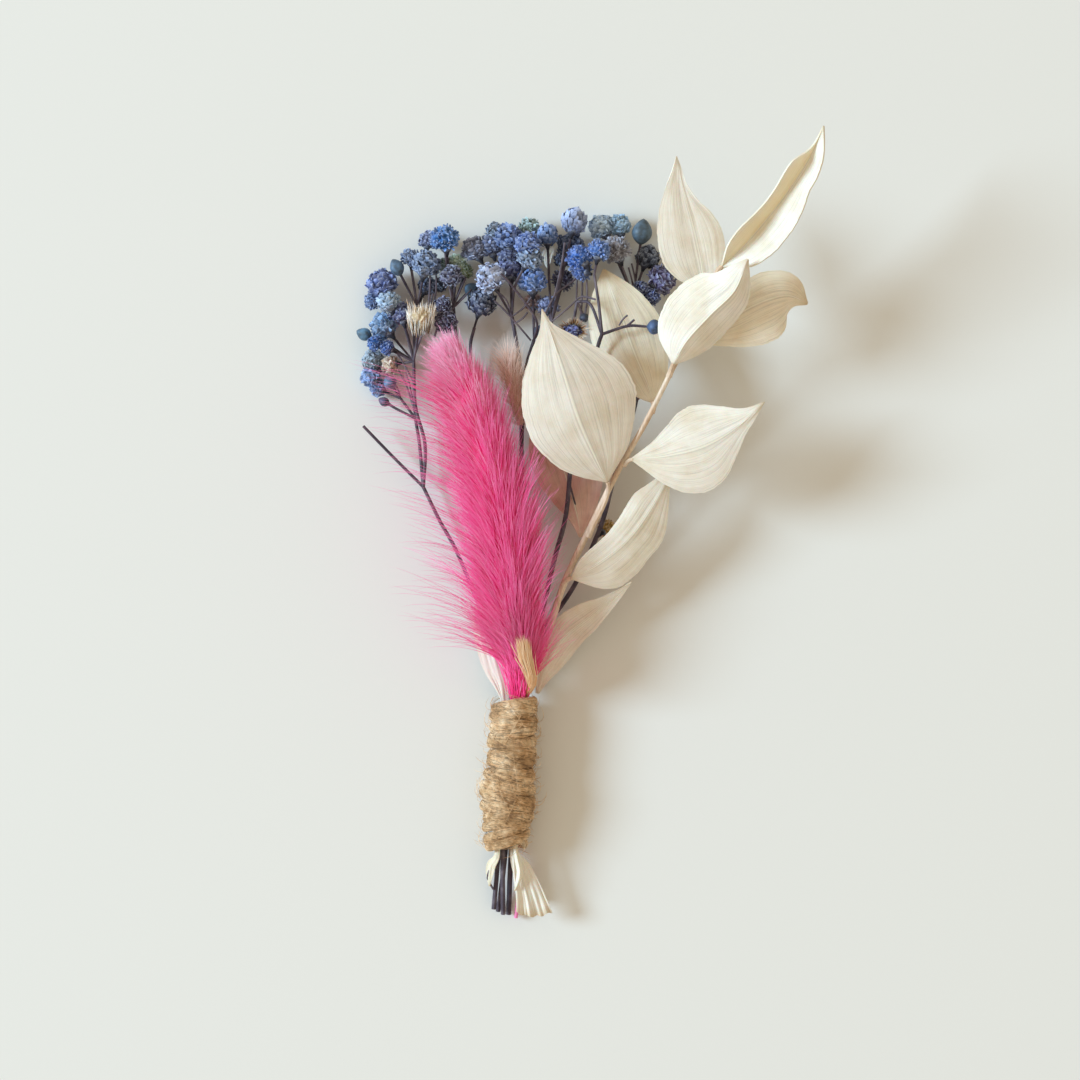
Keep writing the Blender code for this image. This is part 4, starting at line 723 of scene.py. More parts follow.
# each fork: the spray it belongs to and its place
forks = {
    "low left": ("gypsophilaLeft", (-35.9, 24.5, 3.4)), "side": ("gypsophilaLeft", (-37.2, 22.8, 3.0)),
    "left": ("gypsophilaLeft", (-33.3, 31.4, 5.6)), "left outer": ("gypsophilaLeft", (-36.6, 41.5, 1.5)),
    "upper left": ("gypsophilaLeft", (-32.7, 42.0, 3.6)), "upper": ("gypsophilaUpper", (-25.8, 42.0, 3.6)),
    "dusk": ("gypsophilaUpper", (-21.8, 38.0, 4.0)), "crown": ("gypsophilaMiddle", (-14.6, 40.0, 5.4)),
    "crown side": ("gypsophilaMiddle", (-10.4, 35.6, 5.8)), "fan": ("gypsophilaRight", (-7.1, 38.4, 9.6)),
    "front": ("gypsophilaRight", (1.0, 47.4, 11.2)), "lean": ("gypsophilaRight", (-2.2, 42.6, 9.0)),
    "far right": ("gypsophilaFarRight", (8.6, 44.0, 3.2)), "arm": ("gypsophilaRight", (10.6, 37.6, 12.9)),
    "low right": ("gypsophilaFarRight", (1.2, -2.6, 6.4)),
}
# each piece of blooms: its fork, its colour name and its heads; each head: x, y, height of its middle,
# radius, stalk (True for a slight sag, a point it bends through, or False where its neighbours carry it)
# and dye
bloomHeads = {
    "bloomsLeftViolet": ("left outer", "violet", [
        (-39.3, 46.1, 2.9, 2.7, True, "#7587C3"), (-41.1, 43.1, 3.0, 1.6, True, "#617DB0")]),
    "bloomsLeftSlate": ("left", "slate", [
        (-38.1, 42.5, 6.0, 2.0, False, "#A9C2DC"), (-35.6, 40.4, 5.0, 2.1, True, "#595F8C")]),
    "bloomLeftSlateLow": ("left", "slate", [(-38.9, 38.1, 3.0, 2.5, True, "#80A3CC")]),
    "bloomsLeftCobalt": ("left", "cobalt", [
        (-40.6, 34.8, 5.6, 1.4, False, "#386AB6"), (-38.3, 34.0, 5.9, 1.4, True, "#335EAE")]),
    "bloomsLowLeftViolet": ("low left", "violet", [
        (-41.2, 31.6, 2.2, 2.0, False, "#A0B1BF"), (-41.5, 28.5, 1.85, 1.85, False, "#89A7D8"),
        (-40.1, 26.4, 2.2, 1.55, True, "#819BD0")]),
    "bloomLeftUndyed": ("left", "undyed", [(-37.7, 31.0, 4.4, 1.6, True, "#E2CDB4")]),
    "bloomsUpperLeftSlate": ("upper left", "slate", [
        (-31.1, 49.7, 6.0, 2.6, True, "#7589AD"), (-34.1, 51.1, 5.6, 1.6, True, "#7589AF")]),
    "bloomUpperLeftViolet": ("upper left", "violet", [(-30.7, 54.5, 3.5, 1.7, False, "#7C85AC")]),
    "bloomsUpperLeftDusk": ("upper left", "dusk", [
        (-30.9, 45.9, 2.2, 1.7, True, "#4E5878"), (-28.5, 46.2, 2.35, 1.4, False, "#34384C")]),
    "bloomLeftUndyedHigh": ("left", "undyed", [(-31.9, 39.6, 7.8, 2.3, True, "#E6CDA2")]),
    "bloomUpperCobalt": ("upper", "cobalt", [(-27.3, 54.5, 7.0, 2.6, True, "#477FC4")]),
    "bloomsUpperPale": ("upper", "pale", [
        (-25.2, 50.1, 3.2, 1.75, True, "#C0D4B8"), (-27.5, 49.9, 3.2, 1.3, False, "#92AAA0"),
        (-23.5, 48.6, 3.2, 1.35, True, "#8A9A6E")]),
    "bloomUpperDusk": ("upper", "dusk", [(-26.1, 47.3, 8.0, 2.0, True, "#60607C")]),
    "bloomsUpperViolet": ("upper", "violet", [
        (-27.6, 42.1, 6.4, 1.55, True, "#585478"), (-27.2, 39.1, 6.0, 2.0, False, "#5C5272")]),
    "bloomDusk": ("dusk", "dusk", [(-20.4, 42.5, 6.0, 2.6, True, "#383F5C")]),
    "bloomsCrownViolet": ("crown", "violet", [
        (-21.6, 52.7, 4.6, 2.3, True, "#8D94B0"), (-18.6, 53.3, 4.6, 2.2, False, "#7784AC"),
        (-17.8, 56.1, 5.0, 1.7, False, "#8696AC"), (-15.2, 54.6, 6.0, 2.6, False, "#657DB4"),
        (-15.2, 51.7, 5.0, 2.0, False, "#677098"), (-14.9, 49.0, 3.4, 2.6, True, "#7074A0")]),
    "bloomCrownPale": ("crown", "pale", [(-11.3, 56.8, 3.6, 1.9, False, "#9AB4AE")]),
    "bloomsCrownSlate": ("crown", "slate", [
        (-11.7, 53.1, 10.2, 2.3, False, "#637DBC"), (-11.3, 50.6, 10.2, 2.2, (-14.0, 45.5, 8.8), "#8BA0C0")]),
    "bloomLavender": ("crown", "violet", [(-18.6, 46.9, 9.0, 2.7, True, "#BDC7E4")]),
    "bloomCrownCobalt": ("crown side", "cobalt", [(-10.7, 46.5, 7.0, 2.7, True, "#799EE0")]),
    "bloomMiddleUndyed": ("crown side", "undyed", [(-10.5, 42.8, 2.6, 1.7, True, "#C8A8A0")]),
    "bloomStreaked": ("fan", "slate", [(-7.9, 55.2, 6.3, 2.1, True, "#728FC4")]),
    "bloomDriedViolet": ("fan", "violet", [(-7.7, 41.9, 5.2, 1.9, True, "#848DB8")]),
    "bloomBall": ("fan", "violet", [(-2.8, 57.7, 7.0, 2.5, True, "#A0B0DA")]),
    "bloomsMiddleDusk": ("fan", "dusk", [
        (-3.5, 53.6, 3.4, 2.4, (-5.4, 47.5, 7.8), "#4C5B80"), (-4.9, 51.0, 3.0, 1.6, False, "#404A68")]),
    "bloomTangle": ("fan", "dusk", [(-4.9, 46.9, 4.2, 2.0, True, "#4C4668")]),
    "bloomsFrontCobalt": ("front", "cobalt", [
        (1.8, 52.0, 10.2, 2.1, True, "#5A81C7"), (-1.7, 50.6, 9.6, 2.4, False, "#4776CB"),
        (-1.2, 48.4, 9.0, 1.9, False, "#5373BB")]),
    "bloomRinged": ("lean", "violet", [(-3.1, 37.1, 7.6, 1.9, True, "#6C6EA8")]),
    "bloomsRightPale": ("far right", "pale", [
        (2.8, 57.0, 3.2, 2.4, True, "#C5DEF5"), (6.0, 57.3, 3.4, 2.1, False, "#A8C9E2")]),
    "bloomRightGrey": ("far right", "dusk", [(5.2, 52.5, 6.2, 2.7, True, "#A09EA8")]),
    "bloomRightDusk": ("far right", "dusk", [(11.2, 51.4, 2.3, 2.2, True, "#4C5468")]),
    "bloomRightViolet": ("far right", "violet", [(13.8, 47.0, 4.0, 2.6, True, "#6A608A")]),
    "bloomsRightCobalt": ("far right", "cobalt", [
        (9.8, 45.1, 5.8, 1.55, True, "#3C4478"), (12.0, 43.6, 5.8, 1.5, False, "#3A4680")]),
    "tuftGolden": ("low right", "undyed", [(3.4, -0.4, 4.2, 1.7, True, "#D6AE62")]),
}
# each bud: x, y, height of its middle, radius, length, fork, stalk and dye
buds = [
    (-36.5, 49.3, 6.4, 1.35, 3.6, "upper left", True, "#47678A"),
    (-42.9, 36.8, 3.4, 1.25, 3.2, "left", (-38.5, 34.9, 2.2), "#4C7290"),
    (-37.9, 27.5, 4.8, 1.3, 2.8, "low left", True, "#4A6A92"),
    (-39.1, 23.9, 3.0, 0.9, 2.4, "side", True, "#3C3C60"),
    (-22.4, 45.4, 3.4, 1.3, 2.8, "upper", True, "#55789A"),
    (-9.3, 37.3, 6.2, 1.1, 2.4, "crown side", True, "#34406A"),
    (12.3, 37.5, 13.1, 1.45, 3.0, "arm", True, "#34507E"),
    (-0.9, 39.6, 7.8, 0.9, 1.9, "lean", True, "#2F3450"),
    (10.2, 56.2, 5.2, 1.95, 5.0, "far right", True, "#3C5266")]
bloomFinish = {"swell": 1.07, "clearance": 1.34, "stalkRadius": 0.22, "sag": 0.06, "seed": 3}
stemFinish = {"radiusShare": 0.84, "twigRadii": (0.17, 0.2)}
budFinish = {"steps": 14, "sides": 20, "ribs": 0.07}


def stalkPoints(middle, fork, stalk, reach):
    start = Vector(forks[fork][1])
    if stalk is True:
        end = middle - (middle - start).normalized() * reach
        turn = (start + end) / 2 - up * bloomFinish["sag"] * (end - start).length
    else:
        turn = Vector(stalk)
        end = middle - (middle - turn).normalized() * reach
    return places([start, turn, end])


# each stalk: the head or bud's middle, fork, stalk, how far short of the middle it ends, and its swelling
stalks = [(Vector((x, y, z)), fork, stalk, radius * 0.6, 1.25)
          for fork, colour, heads in bloomHeads.values() for x, y, z, radius, stalk, dye in heads if stalk]
stalks += [(Vector((x, y, z)), fork, stalk, length * 0.4, 1.2)
           for x, y, z, radius, length, fork, stalk, dye in buds]
for sprayName, branches in sprays.items():
    bundle = newBundle()
    for startRadius, endRadius, route in branches:
        share = stemFinish["radiusShare"]
        smoothTube(bundle, places(route), startRadius * share, endRadius * share, 6 * (len(route) - 1), 8,
                   dye=stemDye["plain"])
    for route in twigs[sprayName]:
        smoothTube(bundle, places(route), *stemFinish["twigRadii"], 10, 6, dye=stemDye["light"])
    for middle, fork, stalk, reach, swell in stalks:
        if forks[fork][0] == sprayName:
            smoothTube(bundle, stalkPoints(middle, fork, stalk, reach), bloomFinish["stalkRadius"],
                       bloomFinish["stalkRadius"] * swell, 8, 6, dye=stemDye["plain"])
    bundlePiece(sprayName, bundle, dyedStem)

budBundle = newBundle()
budShares = evenShares(budFinish["steps"])
for x, y, z, radius, length, fork, stalk, dye in buds:
    middle = Vector((x, y, z))
    start = Vector(forks[fork][1] if stalk is True else stalk)
    heading = (middle - start).normalized()
    ends = places([middle - heading * length / 2, middle + heading * length / 2])
    # a drop, fullest below its middle
    drop = [max(0.04, math.sin(math.pi * min(1, u * 0.97 + 0.015)) ** 0.7 * (1.08 - 0.28 * u))
            for u in budShares[:-1]]
    addTube(budBundle, [ends[0].lerp(ends[1], u) for u in budShares],
            [radius * mm * width for width in drop] + [0], budFinish["sides"], dye=hexToLinear(dye),
            lobes=lambda i, angle: 1 + budFinish["ribs"] * abs(math.cos(2.5 * angle + 0.1 * i)))
bundlePiece("buds", budBundle, dyedBud, [nodeName(name) for name in sprays])


# one petal, modelled once as a thin closed pad and copied to every place in every head
bpy.ops.object.select_all(action="DESELECT")
bpy.ops.mesh.primitive_cube_add(size=2)
petalModel = bpy.context.object
bpy.ops.object.mode_set(mode="EDIT")
bpy.ops.mesh.select_all(action="SELECT")
bpy.ops.mesh.subdivide(number_cuts=1)
bpy.ops.object.mode_set(mode="OBJECT")
petalShape = []
for vertex in petalModel.data.vertices:
    x, y, z = vertex.co
    rounding = 1 - 0.18 * abs(x) * abs(y)
    petalShape.append((x * rounding * (0.6 + 0.4 * (y + 1) / 2), y * rounding, z * 0.5))
petalFaces = [tuple(face.vertices) for face in petalModel.data.polygons]
bpy.data.objects.remove(petalModel)

# the crumpled heart of a head, modelled once as a ball
bpy.ops.mesh.primitive_ico_sphere_add(subdivisions=4, radius=1)
heartModel = bpy.context.object
heartShape = [vertex.co.copy() for vertex in heartModel.data.vertices]
heartFaces = [tuple(face.vertices) for face in heartModel.data.polygons]
bpy.data.objects.remove(heartModel)

# how the petals of a head sit: their number at a radius of 2 mm, half width and half length as shares of the
# head's radius, how far they stand out rather than hug it, how far down the head they go, their curl, and how
# far out they root; a bare head has none, and bears fibres instead
petalStyles = {
    "open": {"petals": 84, "halfWidth": 0.23, "halfLength": 0.19, "out": 0.34, "down": -0.72, "curl": 1.0,
             "sunk": 0.86},
    "spiky": {"petals": 120, "halfWidth": 0.11, "halfLength": 0.24, "out": 0.92, "down": -0.75, "curl": 0.3,
              "sunk": 0.62},
    "closed": {"petals": 40, "halfWidth": 0.24, "halfLength": 0.36, "out": 0.05, "down": -0.75, "curl": -0.5,
               "sunk": 0.9},
    "bare": {"petals": 0},
}
# every other head is open
styledHeads = {
    "spiky": ("bloomsFrontCobalt", "bloomUpperCobalt", "bloomRightGrey", "bloomTangle", "tuftGolden"),
    "closed": ("bloomDusk", "bloomBall", "bloomStreaked", "bloomRightDusk", "bloomsUpperLeftDusk"),
    "bare": ("bloomLeftUndyedHigh",),
}
petalFinish = {"thickness": 0.09, "wrinkle": 0.14, "ruffle": 0.5, "cup": 0.3}
heartFinish = {"foldsRound": 2.7, "foldsUp": 1.5, "creases": 2.8, "least": 0.74, "relief": 0.24, "neck": 0.3}
cupFinish = {"rings": ((1.0, 0.0), (0.9, 0.2), (0.75, 0.34), (0.55, 0.4)), "stalkRadius": 0.26,
             "dye": hexToLinear("#4A4C5C")}


def addPetal(bundle, root, way, side, halfWidth, halfLength, curl, shade, dye, draw):
    # way runs along the petal and side across it; curl bends its end over
    face = way.cross(side)
    first = len(bundle["verts"])
    ruffle = draw.uniform(-petalFinish["ruffle"], petalFinish["ruffle"])
    for x, y, z in petalShape:
        bend = curl * (y + 1) ** 2 / 4 * halfLength
        wrinkle = draw.uniform(-petalFinish["wrinkle"], petalFinish["wrinkle"])
        wrinkle *= halfWidth * (1 if y > -0.5 else 0.2)
        wrinkle += ruffle * halfWidth * (abs(x) - 0.5) * max(0.0, y)
        rise = z * petalFinish["thickness"] + bend + wrinkle + petalFinish["cup"] * halfWidth * x * x
        spot = way * ((y + 1) * halfLength - abs(bend) * 0.3) + side * (x * halfWidth) + face * rise
        # along rises from root to tip, so the petal's root is painted darker as shade deep in the head
        addVertex(bundle, root + spot * mm, 0.25 + 0.75 * (y + 1) / 2, shade, dye)
    addFaces(bundle, first, petalFaces)


def noiseShift(draw):
    return Vector((draw.uniform(-50, 50), draw.uniform(-50, 50), draw.uniform(-50, 50)))


def addHeart(bundle, middle, turn, radius, dye, draw):
    # folds run from the stalk to the top, as in a pressed paper ball
    first = len(bundle["verts"])
    shift = noiseShift(draw)
    across, upwards = heartFinish["foldsRound"], heartFinish["foldsUp"]
    for corner in heartShape:
        spot = Vector((corner.x * across, corner.y * across, corner.z * upwards)) + shift
        fold = 1 - min(1.0, 2.6 * abs(noise.noise(spot)))
        crease = 1 - min(1.0, 2.8 * abs(noise.noise(spot * heartFinish["creases"])))
        height = 0.55 * fold + 0.45 * crease
        neck = 1 - heartFinish["neck"] * max(0.0, -corner.z) ** 2
        reach = radius * neck * (heartFinish["least"] + heartFinish["relief"] * height)
        # along carries the fold height, so the creases are painted darker as shade and the crests lighter
        addVertex(bundle, middle + turn @ corner * reach * mm, 0.1 + 0.85 * height,
                  0.5 + 0.5 * noise.noise(spot * 0.7), dye)
    addFaces(bundle, first, heartFaces)


def addHead(bundle, head, fork, style, draw):
    x, y, z, size, stalk, code = head
    radius = size * bloomFinish["swell"]
    middle = place(x, y, max(z, radius * bloomFinish["clearance"]))
    dye = hexToLinear(code)
    shift = noiseShift(draw)
    start = Vector(stalk) if isinstance(stalk, tuple) else Vector(forks[fork][1])
    facing = (Vector((x, y, z)) - start).normalized()
    turn = facing.to_track_quat("Z", "Y").to_matrix()
    addHeart(bundle, middle, turn, radius, dye, draw)
    # the green cup that the petals sit in
    cup = [middle - facing * (radius * share + 0.5 * (share > 0.9)) * mm
           for share, width in cupFinish["rings"]]
    cupRadii = [(radius * width or cupFinish["stalkRadius"]) * mm for share, width in cupFinish["rings"]]
    addTube(bundle, cup, cupRadii, 8, shade=0.4, dye=cupFinish["dye"])
    petals = round(style["petals"] * (0.4 + 0.3 * radius))
    spin = draw.uniform(0, math.tau)
    for i in range(petals):
        height = 1 + (style["down"] - 1) * (i + 0.5) / petals
        around = spin + i * goldenAngle + draw.uniform(-0.2, 0.2)
        flat = math.sqrt(1 - height * height)
        outwards = turn @ Vector((flat * math.cos(around), flat * math.sin(around), height))
        lump = (1 + 0.22 * noise.noise(outwards * 1.6 + shift)) * (1 - 0.3 * max(0.0, -height) ** 2)
        towards = (facing - outwards * facing.dot(outwards)).normalized()
        lean = scatter(draw, 1) * (0.3 * style["out"])
        way = outwards * style["out"] + towards * (1 - 0.6 * style["out"]) * (0.4 + 0.6 * flat) + lean
        way.normalize()
        side = Matrix.Rotation(draw.gauss(0, 1.9 * style["out"]), 3, way)
        side = side @ way.cross(outwards + lean * 0.01).normalized()
        side = (side - way * side.dot(way)).normalized()
        halfLength = radius * style["halfLength"] * draw.uniform(0.8, 1.15)
        rooted = outwards * radius * style["sunk"] * lump - towards * halfLength * (1 - style["out"])
        halfWidth = radius * style["halfWidth"] * draw.uniform(0.75, 1.25)
        curl = style["curl"] * (draw.uniform(-1, 1) if style["curl"] > 0 else draw.random())
        addPetal(bundle, middle + rooted * mm, way, side, halfWidth, halfLength, curl, draw.random(), dye,
                 draw)


hairFinish = {"clearance": 0.3, "shortest": 0.5, "taper": 0.72}


def addHair(bundle, root, startWay, endWay, length, radius, shade, steps=4, dye=greyDye):
    # a three-sided hair that bends evenly from one way to another and ends in a point, clear of the table
    clearance = hairFinish["clearance"] * mm
    while root.z + (startWay.z + endWay.z) / 2 * length * mm < clearance and length > hairFinish["shortest"]:
        length *= 0.8
    points = [root + (startWay * (t - t * t / 2) + endWay * (t * t / 2)) * length * mm
              for t in evenShares(steps)]
    radii = [radius * mm * (1 - hairFinish["taper"] * i / steps) for i in range(steps)] + [0]
    addTube(bundle, points, radii, 3, shade=shade, dye=dye)


brush = {"fibres": 620, "halfWidth": 2.5, "lengths": (1.2, 3.0), "radii": (0.06, 0.1),
         "dyes": [hexToLinear(code) for code in ("#FFFAEE", "#FBF1DC", "#EFD3A8", "#FFFCF4", "#E6BE90")]}
bracts = {"count": 84, "lengths": (0.9, 1.9), "radius": 0.14, "dyes": ("#DDB88C", "#E6CCAA", "#C08A5C")}


def addBrush(bundle, head, draw):
    # the undyed head that has opened into long tan fibres
    middle = place(*head[:3])
    for k in range(brush["fibres"]):
        aside = Vector((draw.uniform(-2.3, 2.3), draw.gauss(0, 0.5), draw.uniform(0.2, 1.7)))
        domed = math.sqrt(1 - (aside.x / brush["halfWidth"]) ** 2)
        aside.z *= domed
        root = middle + (aside + Vector((0.1, -3.4 * domed * draw.random() + 0.4 * draw.random(), 0.0))) * mm
        startWay = (Vector((0.0, 1, 0.12)) + Vector((aside.x, 0, aside.z)) * 0.1).normalized()
        endWay = Vector((0.0, 1, 0.1)) + Vector((aside.x, 0, 0)) * 0.14 + up * draw.gauss(0, 0.2)
        addHair(bundle, root, startWay, endWay.normalized(), draw.uniform(*brush["lengths"]),
                draw.uniform(*brush["radii"]), 0.4 + 0.6 * draw.random(), dye=draw.choice(brush["dyes"]))


def addBracts(bundle, head, draw):
    # the ring of spiky tan bracts round the open violet head
    middle, radius = place(*head[:3]), head[3]
    for k in range(bracts["count"]):
        around = math.tau * k / bracts["count"] + draw.uniform(-0.1, 0.1)
        outwards = Vector((math.cos(around), 0.72 * math.sin(around), 0.2 + 0.3 * draw.random()))
        addHair(bundle, middle + (outwards * radius * 0.9 + up * 0.4) * mm, outwards.normalized(),
                (outwards + up * 0.4).normalized(), draw.uniform(*bracts["lengths"]), bracts["radius"],
                draw.random(), dye=hexToLinear(draw.choice(bracts["dyes"])))


bloomDraw = random.Random(bloomFinish["seed"])
for bloomName, (fork, colour, heads) in bloomHeads.items():
    bundle = newBundle()
    style = next((style for style, names in styledHeads.items() if bloomName in names), "open")
    for head in heads:
        addHead(bundle, head, fork, petalStyles[style], bloomDraw)
        if bloomName == "bloomLeftUndyedHigh":
            addBrush(bundle, head, bloomDraw)
        if bloomName == "bloomRinged":
            addBracts(bundle, head, bloomDraw)
    bundlePiece(bloomName, bundle, dyedPetal, sharpAngle=60)
print("gypsophila made")


# dyed grass plume and the tan grass head behind it

# The stops run from base (0) to top (1): the core's radius, how far hairs reach from the axis, and how many
# degrees they lean out from it at root and tip, all in mm and degrees.
plume = {
    "axis": [(-13.35, -32.5, 7.2), (-12.8, -26.5, 8.4), (-14.6, -18.5, 10.6), (-15.4, -9.0, 11.8),
             (-17.0, 2.0, 12.2), (-19.6, 14.0, 12.2), (-22.6, 24.5, 12.0), (-26.0, 32.0, 11.8)],
    "core": ((0.0, 0.6), (0.06, 1.1), (0.13, 1.8), (0.25, 3.2), (0.38, 4.0), (0.8, 4.0), (0.93, 3.2),
             (1.0, 1.2)),
    "reachLeft": ((0.0, 5.0), (0.06, 6.0), (0.12, 7.4), (0.2, 9.2), (0.3, 10.4), (0.6, 10.6), (0.85, 9.4),
                  (1.0, 5.0)),
    "reachRight": ((0.0, 4.6), (0.06, 5.8), (0.12, 7.8), (0.3, 10.6), (0.5, 11.2), (0.62, 9.8), (0.74, 7.8),
                   (0.86, 5.4), (1.0, 3.2)),
    "rootLean": ((0.0, 13.0), (0.1, 19.0), (0.3, 24.0), (0.85, 24.0), (1.0, 20.0)),
    "tipLean": ((0.0, 20.0), (0.1, 30.0), (0.3, 46.0), (0.85, 46.0), (1.0, 36.0)),
    "longest": ((0.0, 14.5), (0.6, 13.5), (0.8, 9.5), (1.0, 5.6)),
    "tufts": 2980, "hairs": 5, "radius": 0.064, "spread": 1.3, "drift": 0.34, "paleTop": 1.7, "coreSides": 16,
    "seed": 11,
}
tanTuft = {
    "axis": [(-13.0, 19.5, 5.6), (-13.8, 24.0, 7.4), (-14.7, 28.0, 8.4), (-15.2, 31.0, 8.4)],
    "core": ((0.0, 0.6), (0.3, 1.2), (0.8, 1.3), (1.0, 0.5)),
    "reachLeft": ((0.0, 3.0), (0.3, 4.4), (0.8, 5.0), (1.0, 3.6)),
    "reachRight": ((0.0, 2.4), (0.3, 3.8), (0.8, 4.4), (1.0, 3.2)),
    "rootLean": ((0.0, 24.0), (1.0, 16.0)), "tipLean": ((0.0, 64.0), (1.0, 44.0)),
    "longest": ((0.0, 7.4), (1.0, 6.0)),
    "tufts": 240, "hairs": 4, "radius": 0.05, "spread": 1.0, "drift": 0.0, "paleTop": 0.5, "coreSides": 8,
    "seed": 5,
}
# hairs that stand out beyond the rest: long whiskers on the left (side 1) and a shorter fringe on the right
whiskers = {"tufts": 130, "reach": (5.5, 17.4), "radius": 0.055, "side": 1, "shares": (0.1, 0.9),
            "lean": (36, 74), "droop": 0.16, "hairs": (1, 4), "seed": 21}
fringe = {"tufts": 130, "reach": (3.0, 9.0), "radius": 0.06, "side": -1, "shares": (0.06, 0.62),
          "lean": (26, 44), "droop": -0.08, "hairs": (1, 3), "seed": 8}
plumeStem = {"route": [(-12.9, -25.0, 8.7), (-13.35, -32.5, 7.2), (-14.0, -44.0, 4.4), (-14.3, -56.0, 2.8),
                       (-14.0, -62.0, 2.6), (-13.5, -66.5, 2.6), (-13.4, -70.5, 2.0), (-13.9, -75.0, 1.2)],
             "radii": (0.5, 0.38)}


def axisFrame(axis, share):
    # the axis there: its place, heading and cross directions
    heading = curveHeading(axis, share)
    left = up.cross(heading).normalized()
    return curvePoint(axis, share), heading, left, heading.cross(left).normalized()


def headingAt(frame, around, lean, drift):
    heading, left, above = frame[1:]
    outwards = (left * math.cos(around) + above * math.sin(around) + left * drift).normalized()
    return (heading * math.cos(lean) + outwards * math.sin(lean)).normalized()


def addTufts(bundles, head):
    draw = random.Random(head["seed"])
    for i in range(head["tufts"]):
        share = 0.004 + 0.996 * (i + 0.5) / head["tufts"]
        frame = axisFrame(head["points"], share)
        centre, heading, left, above = frame
        around = i * goldenAngle + draw.uniform(-0.3, 0.3)
        lefts = (1 + math.cos(around)) / 2
        core = stopAt(head["core"], share)
        rootLean = math.radians(stopAt(head["rootLean"], share) + 8 * lefts - 4 + draw.uniform(-4, 4))
        tipLean = math.radians(stopAt(head["tipLean"], share) + 22 * lefts - 11 + draw.uniform(-6, 6))
        crown = draw.uniform(0.1, 1.1) if share > 0.94 else 1.0
        rootLean, tipLean = rootLean * crown, tipLean * crown
        meanLean = rootLean * 0.67 + tipLean * 0.33
        reach = stopAt(head["reachLeft"], share) * lefts + stopAt(head["reachRight"], share) * (1 - lefts)
        reach *= draw.uniform(0.66, 1.05)
        length = max(1.5, min((reach - core * 0.75) / math.sin(meanLean), stopAt(head["longest"], share)))
        startWay = headingAt(frame, around, rootLean, head["drift"])
        endWay = headingAt(frame, around, tipLean, head["drift"])
        outwards = left * math.cos(around) + above * math.sin(around)
        tuftShade = draw.random() * 0.6 + head["paleTop"] * max(0.0, share - 0.6)
        bundle = bundles[0 if lefts > 0.5 else -1]
        for k in range(head["hairs"]):
            aside = left * draw.gauss(0, 0.5) + above * draw.gauss(0, 0.5) + heading * draw.gauss(0, 0.7)
            root = centre + (outwards * core * 0.7 + aside * min(head["spread"], 0.4 + core)) * mm
            tipWay = (endWay + scatter(draw, 0.12) - aside * 0.05).normalized()
            shade = min(1.0, max(0.0, tuftShade + draw.gauss(0, 0.13)))
            addHair(bundle, root, startWay, tipWay, length * draw.uniform(0.6, 1.05),
                    head["radius"] * draw.uniform(0.7, 1.2), shade)


def addShadeCore(bundle, head):
    # a solid middle that the hairs hide, coloured as dark as their roots: painted shade for the dense hair
    # deep inside
    first = len(bundle["along"])
    shares = evenShares(24)
    addTube(bundle, [curvePoint(head["points"], u) for u in shares],
            [stopAt(head["core"], u) * mm for u in shares[:-1]] + [0], head["coreSides"], shade=0.0)
    bundle["along"][first:] = [0.1] * (len(bundle["along"]) - first)


def addStrayHairs(bundle, head, stray):
    draw = random.Random(stray["seed"])
    side, (lowest, highest), lean = stray["side"], stray["shares"], stray["lean"]
    for i in range(stray["tufts"]):
        share = lowest + (highest - lowest) * (i + draw.random()) / stray["tufts"]
        frame = axisFrame(head["points"], share)
        centre, heading, left, above = frame
        around = (0 if side > 0 else math.pi) + draw.uniform(-0.35, 0.75) * side
        core = stopAt(head["core"], share)
        root = centre + (left * math.cos(around) + above * math.sin(around)) * core * mm
        startWay = headingAt(frame, around, math.radians(lean[0] + draw.uniform(-10, 10)), 0)
        tilt = draw.gauss(0, 7)
        for k in range(draw.randint(*stray["hairs"])):
            endWay = headingAt(frame, around, math.radians(lean[1] + tilt + draw.gauss(0, 6)), 0)
            endWay = (endWay - up * stray["droop"] * draw.uniform(0.5, 1.5)).normalized()
            length = stopAt(head["reachLeft"], share) - core + draw.uniform(*stray["reach"])
            addHair(bundle, root + scatter(draw, 0.4) * mm, startWay, endWay,
                    length * draw.uniform(0.8, 1.05), stray["radius"], draw.uniform(0.0, 0.55), steps=8)


plume["points"] = places(plume["axis"])
plumeHalves = [newBundle(), newBundle()]
addTufts(plumeHalves, plume)
addShadeCore(plumeHalves[0], plume)
smoothTube(plumeHalves[0], places(plumeStem["route"]), *plumeStem["radii"], 40, 10, shade=0.0)
addStrayHairs(plumeHalves[0], plume, whiskers)
addStrayHairs(plumeHalves[1], plume, fringe)
for side, bundle in zip(("Left", "Right"), plumeHalves):
    bundlePiece("plume" + side, bundle, pinkHair, ["bunny_tail_plume"])

tanTuft["points"] = places(tanTuft["axis"])
tanBundle = newBundle()
addTufts([tanBundle], tanTuft)
addShadeCore(tanBundle, tanTuft)
bundlePiece("grassTuftTan", tanBundle, tanHair)
print("plume made")


# twine

